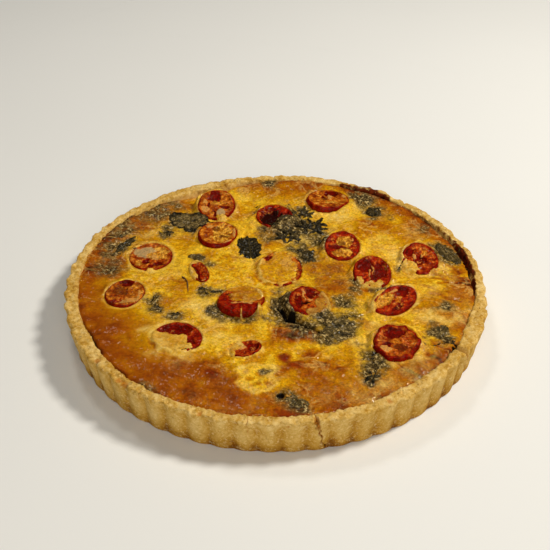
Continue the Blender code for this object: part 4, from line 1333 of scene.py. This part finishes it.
def make_leaf(node, look, material):
    plate = Plate(node)
    plate.half_long *= look.get("stretch", 1.0)
    plate.half_short *= look.get("stretch", 1.0)
    plate.top[:2] += look.get("shift", (0, 0))
    heading = math.degrees(math.atan2(plate.long[1], plate.long[0]))
    join = Join()
    if look["outline"] == "frond":
        for along, across, turn, length, width in FROND:
            middle = plate.top + plate.long * along * plate.half_long + plate.short * across * plate.half_short
            half = plate.half_long * length
            add_blade(join, middle, heading + turn, half, half * width / length, leaflet_outline, look)
    else:
        outline = OUTLINES[look["outline"]]
        add_blade(join, plate.top, heading, plate.half_long, plate.half_short, outline, look)
    piece = join.piece(node + "_wilted", material, "leaf")
    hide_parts(node)
    return piece


# ---------------------------------------------------------------------------------------------------------
# The case
# ---------------------------------------------------------------------------------------------------------


def case_profile():
    """Rows from the bottom's edge up the wall, over the rim and down the inside: (share of the way from the
    inner to the outer face, height, share of the flutes' depth, outward and upward part of the surface's way)."""
    height = CASE_HEIGHT
    rows = [(0.8, 0, 0.5, 0, -1), (0.93, 0.05, 0.55, 0.3, -1), (0.985, 0.4, 0.6, 0.7, -0.7), (1, 1.1, 0.62, 1, 0)]
    for z in np.linspace(1.9, height - 2.6, 30):
        rows.append((1, z, min(1, 0.6 + 0.4 * z / 14), 1, 0))
    for turn in np.radians((12, 28, 44, 60, 76)):
        rows.append((1 - 0.29 * (1 - math.cos(turn)), height - 2 + 2 * math.sin(turn),
                     1 - 0.25 * math.sin(turn), math.cos(turn), math.sin(turn)))
    for share in np.linspace(0.66, 0.2, 7):
        rows.append((share, height, 0.95 * share, 0, 1))
    for turn in np.radians((66, 42, 18, 0)):
        rows.append((0.16 - 0.16 * math.cos(turn), height - 1.3 + 1.3 * math.sin(turn), 0,
                     -math.cos(turn), math.sin(turn)))
    for z in np.linspace(height - 2.4, 12, 12):
        rows.append((0, z, 0, -1, 0))
    rows.append((0, CASE_FLOOR, 0, -0.7, 0.7))
    return np.array(rows)


def case_columns():
    """The directions of the columns of points, closer together at the cracks."""
    fine = np.linspace(-180, 180, 7201)
    spots = [(line[0][1], 1.1, 4.5) for line, *_ in CASE_CRACKS]
    spots += [(line[-1][1], 1.0, 2.0) for line, *_ in CASE_CRACKS]
    density = 1 + bump_at(fine, spots)
    share = np.concatenate(([0], np.cumsum((density[1:] + density[:-1]) / 2)))
    return np.interp(np.arange(COLUMNS) / COLUMNS, share / share[-1], fine)


def make_case(material):
    """The fluted case as one closed body."""
    rows = case_profile()
    angles = case_columns()
    angle = np.tile(angles, len(rows))
    share, height, fluting, out, up = (np.repeat(rows[:, i], len(angles)) for i in range(5))
    turn = np.radians(angle)
    way = np.stack((np.cos(turn), np.sin(turn), np.zeros_like(turn)), axis=1)

    lean = height / CASE_HEIGHT
    outer = CASE_BASE_RADIUS + lean * (CASE_RADIUS - CASE_BASE_RADIUS) + bump_at(angle, OUTER_EDGES) * lean**2
    outer += 0.35 * lumpy(way * CASE_RADIUS, 30) * lean
    wave = np.sqrt(np.sin(np.radians(FLUTES * (angle - FLUTE_VALLEY) / 2)) ** 2 + 0.008)
    depth = FLUTE_DEPTH * (1 + 0.3 * lumpy(way * CASE_RADIUS, 26))
    outer -= depth * fluting * (1 - wave)
    inner = inner_radius(height, angle) + 0.55 * lumpy(way * CASE_RADIUS, 12) * step(lean, 0.5, 1.0)
    radius = blend(inner, outer, share)

    high = bump_at(angle, RIM_HEIGHTS) + 0.45 * lumpy(way * CASE_RADIUS, 34) + 0.25 * lumpy(way * CASE_RADIUS, 9)
    height = height + high * step(lean, 0.15, 1.0) * (lean > 0.15)
    points = way * radius[:, None]
    points[:, 2] = height
    rough = step(lean, 0.02, 0.08)
    bulge = 0.3 * lumpy.layers(points, 12, 2) + 0.16 * lumpy(points + 40, 4.5) + 0.12 * crumble(points, 2.0)
    bulge -= 0.5 * step(crumble(points + 80, 3.0), 0.5, 0.8)
    crown = step(height, CASE_HEIGHT - 4, CASE_HEIGHT - 1)
    bulge += crown * (0.55 * crumble(points + 15, 4.2) + 0.5 * crumble(points + 55, 2.0))
    bulge -= crown * 1.0 * step(crumble(points + 65, 2.8), 0.4, 0.7)
    inside = step(share, 0.35, 0.0)
    bulge += inside * (0.6 * lumpy(points, 6) + 0.4 * crumble(points, 2.4))
    facing = way * out[:, None] + UP * up[:, None]

    deep = np.zeros_like(angle)
    outside = step(share, 0.25, 0.6)
    for line, half_width, crack_depth, darkness in CASE_CRACKS:
        levels, directions = np.array(line[::-1]).T
        middle = np.interp(height, levels, directions)
        ends = step(height, levels[0] - 1.5, levels[0] + 1.0) if levels[0] > 0 else 1.0
        jagged = 0.3 * crumble(points, 1.7)
        away = np.abs(np.radians(angle - middle) * CASE_RADIUS + 0.8 * crumble(points + 30, 2.6)) + jagged
        where = np.maximum(outside, height > CASE_HEIGHT - 2) if darkness == 1.0 else outside
        crack = step(away, half_width * 1.5, half_width * 0.2) * ends * where
        bulge -= crack_depth * crack
        # A crack's darkness sets its browner inside, and at 1 the near black painted shade in it
        deep = np.maximum(deep, crack * darkness)
    for direction, level, half_width, half_height, chip_depth in CASE_CHIPS:
        sideways = np.radians(angle - direction) * CASE_RADIUS / half_width
        distance = np.hypot(sideways, (height - level) / half_height) + 0.35 * crumble(points, 1.8)
        chip = step(distance, 1.15, 0.7) * outside
        bulge -= chip_depth * chip * (0.8 + 0.5 * crumble(points, 1.3))
        deep = np.maximum(deep, 0.45 * chip)
    points += facing * (bulge * rough)[:, None]

    burnt = np.zeros_like(angle)
    uneven = 0.9 * lumpy(points, 6) + 0.8 * crumble(points + 5, 2.8)
    for line, half_width, amount in CASE_BURNS:
        away = line_distance(points[:, 0], points[:, 1], line) + uneven
        burnt = np.maximum(burnt, amount * step(away, 1.5 * half_width, 0.4 * half_width))
    burnt *= step(height, 14, 20) * (0.95 + 0.5 * lumpy(points + 35, 8))
    masks = dict(
        deep=deep,
        burnt=np.clip(burnt, 0, 1),
        toast_and_shade=(
            # Darker towards the base: partly browning, partly painted shade
            0.6 * step(lean, 0.6, 0.0)
            # Darker in the flute valleys: painted shade in the recesses
            + 0.5 * outside * (1 - wave) * step(lean, 0.95, 0.8)
            + crown * (0.45 * crumble(points + 65, 3.4) + 0.14)
        ),
        crown=crown,
    )

    around = len(angles)
    faces = tube_faces(len(rows), around)
    bottom, floor = len(points), len(points) + 1
    last = (len(rows) - 1) * around
    for i in range(around):
        j = (i + 1) % around
        faces.append((bottom, j, i))
        faces.append((floor, last + i, last + j))
    points = np.concatenate((points, [(0, 0, 0), (0, 0, CASE_FLOOR)]))
    masks = {name: np.append(values, (0, 0)) for name, values in masks.items()}
    return add_piece("baked_case", points, faces, material, masks, "crust")


# ---------------------------------------------------------------------------------------------------------
# Small pieces: the stem, herbs and crumbs
# ---------------------------------------------------------------------------------------------------------

STEM = ((-62.5, 2.5), (-60.2, 0.5), (-58.8, -2.5), (-58.0, -6.0), (-57.6, -10.0), (-57.2, -14.0))
STEM_RADIUS = 0.55
# Small wilted herbs: (x, y, length, width, heading)
HERBS = (
    (-48, -11, 10, 4.5, 150), (-41, -14, 9, 4.0, 15), (-45, -16, 8, 3.0, -40), (-37, -13, 6, 3.0, 30),
    (-78, -20, 8, 4.5, 80), (-76, -28, 9, 4.0, 110), (-74, -34, 5, 3.0, 60), (-63, -37, 9, 3.8, 5),
    (-42, -31, 3.5, 2.4, 20), (-76, 58, 11, 7.5, 70), (-82, 58, 6, 3.5, 130), (107, -66, 6, 3.0, 30),
    (52, -3, 5, 2.6, 60), (70, -16, 4, 2.4, 100), (-24, 38, 5, 3.0, 50), (-15, 30, 4, 3.0, 120),
    (-108, 30, 8, 3.2, 80), (-110, 52, 9, 3.5, 35), (-98, 36, 5, 2.6, 150), (24, 78, 7, 3.0, 60),
    (35, 62, 9, 4.0, 20), (15, 68, 9, 4.0, 110), (30, 47, 7, 3.0, 45), (57, -82, 3.5, 2.2, 70),
    (6, -30, 6, 4.0, 40), (28, -40, 7, 4.0, 10), (44, -42, 6, 3.5, 80), (34, -60, 6, 3.5, 140),
    (-8, 62, 6, 2.4, 100), (0, 52, 5, 2.4, 60), (110, -32, 3.5, 2.0, 60), (-14, 92, 3, 1.8, 30),
    (2, 85, 11, 5, 100), (9, 92, 9, 4.5, 60), (6, 75, 11, 5.5, 20), (13, 80, 9, 4.5, 75),
    (-1, 66, 10, 4.5, 150), (9, 62, 10, 5.5, 30), (20, 73, 10, 4.5, 40), (21, 57, 9, 4.5, 0),
    (15, 45, 7, 4, 100), (17, 34, 9, 5.5, 90), (21, 22, 8, 4.5, 60), (33, 44, 7, 3.5, 120),
    (37, -48, 9, 5, 60), (42, -58, 8, 4.5, 150), (33, -52, 8, 4, 10), (45, -27, 7, 3.5, 40),
    (101, -58, 6, 4, 100), (104, -50, 5, 3, 40), (3, -22, 7, 4, 80), (-2, -32, 6, 3.5, 120),
)
CRUMB_COUNT = 110


def make_stem(material):
    """A thin bent stalk that lies on the custard."""
    line = np.array(STEM)
    share = np.linspace(0, 1, len(line))
    fine = np.linspace(0, 1, 40)
    x, y = np.interp(fine, share, line[:, 0]), np.interp(fine, share, line[:, 1])
    x, y = (np.convolve(np.pad(values, 3, "edge"), np.ones(7) / 7, "valid") for values in (x, y))
    middle = np.stack((x, y, top_height(x, y) + 0.6 - 0.7 * fine**3), axis=1)
    ahead = np.gradient(middle, axis=0)
    ahead /= np.linalg.norm(ahead, axis=1, keepdims=True)
    side = np.cross(ahead, UP)
    above = np.cross(side, ahead)
    angle = np.arange(10) * 2 * math.pi / 10
    radius = STEM_RADIUS * (1 + 0.25 * lumpy(middle, 3)) * (1 - 0.45 * fine)
    ring = np.cos(angle)[None, :, None] * side[:, None] + np.sin(angle)[None, :, None] * above[:, None]
    points = (middle[:, None] + ring * radius[:, None, None]).reshape(-1, 3)
    faces = [tuple(reversed(face)) for face in tube_faces(40, 10)]
    faces += [tuple(range(10)), tuple(range(399, 389, -1))]
    return add_piece("stalk", points, faces, material)


def make_herbs(material):
    """Little wilted leaves and shreds on the custard, as one piece."""
    join = Join()
    for x, y, length, width, heading in HERBS:
        look = dict(tone=0.2, film=0.3, lift=0.5)
        add_blade(join, (x, y), heading, length / 2, width / 2, leaflet_outline, look, 80, 8)
    return join.piece("herb_shreds", material, "leaf")


def make_crumbs(material):
    """Crumbs of the case along its rim and on the custard beside it, as one piece."""
    chance = np.random.default_rng(5)
    ball = bmesh.new()
    bmesh.ops.create_icosphere(ball, subdivisions=2, radius=1.0)
    shape = np.array([vertex.co for vertex in ball.verts])
    faces = [tuple(vertex.index for vertex in face.verts) for face in ball.faces]
    ball.free()
    join = Join()
    for _ in range(CRUMB_COUNT):
        angle = chance.uniform(-math.pi, math.pi)
        radius = CASE_RADIUS - RIM_WIDTH + chance.choice((-1, 1), p=(0.45, 0.55)) * chance.exponential(1.8) + 0.6
        radius = min(radius, CASE_RADIUS - 2.5)
        size = chance.uniform(0.2, 0.6)
        x, y = radius * math.cos(angle), radius * math.sin(angle)
        lump = shape * (1 + 0.35 * crumble(shape * 2.2 + chance.uniform(0, 90, 3), 2.0))[:, None]
        lump = lump * chance.uniform(0.7, 1.2, 3) * size
        start = np.array(((x, y, CASE_HEIGHT + 8),)) * MM
        hit = case_tree.ray_cast(start[0].tolist(), (0, 0, -1))[0]
        level = max(hit.z / MM if hit else 0, custard_height(np.array([x]), np.array([y]))[0] if radius < 131 else 0)
        join.add(lump + (x, y, level + 0.35 * size), faces,
                 dict(toast_and_shade=chance.uniform(0, 0.3), deep=0.0, burnt=0.0, crown=0.0))
    return join.piece("crumbs", material, "crust")


# ---------------------------------------------------------------------------------------------------------
# The studio
# ---------------------------------------------------------------------------------------------------------

CAMERA_PLACE = (-0.0006, -0.5007, 0.3817)
CAMERA_PITCH = 54.67
CAMERA_LENS = 60.78
# Lights: (name, azimuth from +Y towards +X, elevation, distance in metres, size, power in watts)
LIGHTS = (
    ("key", 76, 52, 1.5, 0.3, 17.5),
    ("back", -25, 60, 1.6, 0.3, 4.0),
    ("fill", 178, 32, 1.8, 1.4, 15.5),
)
LIGHT_COLOUR = (1.0, 0.94, 0.81)
WORLD_STRENGTH = 0.06


def add_light(name, azimuth, elevation, distance, size, power):
    data = bpy.data.lights.new(name, "AREA")
    data.shape = "DISK"
    data.size = size
    data.energy = power
    data.color = LIGHT_COLOUR
    lamp = bpy.data.objects.new(name, data)
    bpy.context.scene.collection.objects.link(lamp)
    turn, rise = math.radians(azimuth), math.radians(elevation)
    way = Vector((math.sin(turn) * math.cos(rise), math.cos(turn) * math.cos(rise), math.sin(rise)))
    lamp.location = way * distance
    lamp.rotation_euler = way.to_track_quat("Z", "Y").to_euler()


def make_studio():
    """A pale floor, soft lights and the camera."""
    floor_mesh = bpy.data.meshes.new("floor")
    floor_mesh.from_pydata([(-4, -4, 0), (4, -4, 0), (4, 4, 0), (-4, 4, 0)], [], [(0, 1, 2, 3)])
    floor_mesh.materials.append(floor_material())
    floor = bpy.data.objects.new("floor", floor_mesh)
    bpy.context.scene.collection.objects.link(floor)
    for light in LIGHTS:
        add_light(*light)
    world = bpy.data.worlds.new("studio")
    world.use_nodes = True
    world.node_tree.nodes["Background"].inputs["Color"].default_value = (1.0, 0.99, 0.97, 1)
    world.node_tree.nodes["Background"].inputs["Strength"].default_value = WORLD_STRENGTH
    bpy.context.scene.world = world
    data = bpy.data.cameras.new("camera")
    data.lens = CAMERA_LENS
    camera = bpy.data.objects.new("camera", data)
    bpy.context.scene.collection.objects.link(camera)
    camera.location = CAMERA_PLACE
    camera.rotation_euler = (math.radians(CAMERA_PITCH), 0, 0)
    bpy.context.scene.camera = camera
    bpy.context.scene.view_settings.view_transform = "Standard"


# ---------------------------------------------------------------------------------------------------------
# Putting it together
# ---------------------------------------------------------------------------------------------------------

lumpy = Noise(11)
crumble = Noise(23)
CASE_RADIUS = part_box("crust")[1].x / MM
CASE_HEIGHT = 25.2
MODEL_TOP = cad_box[1][2] / MM
slices = [Slice(node) for node in SLICES]

make_studio()
crust_look = crust_material()
case = make_case(crust_look)
make_custard(custard_material())
tomato_look = tomato_material()
for part in slices:
    make_slice(part, tomato_look)
leaf_look = leaf_material()
for node, look in LEAVES.items():
    make_leaf(node, look, leaf_look)
make_stem(stem_material())
make_herbs(leaf_look)
case_tree = BVHTree.FromObject(case, bpy.context.evaluated_depsgraph_get())
make_crumbs(crust_look)
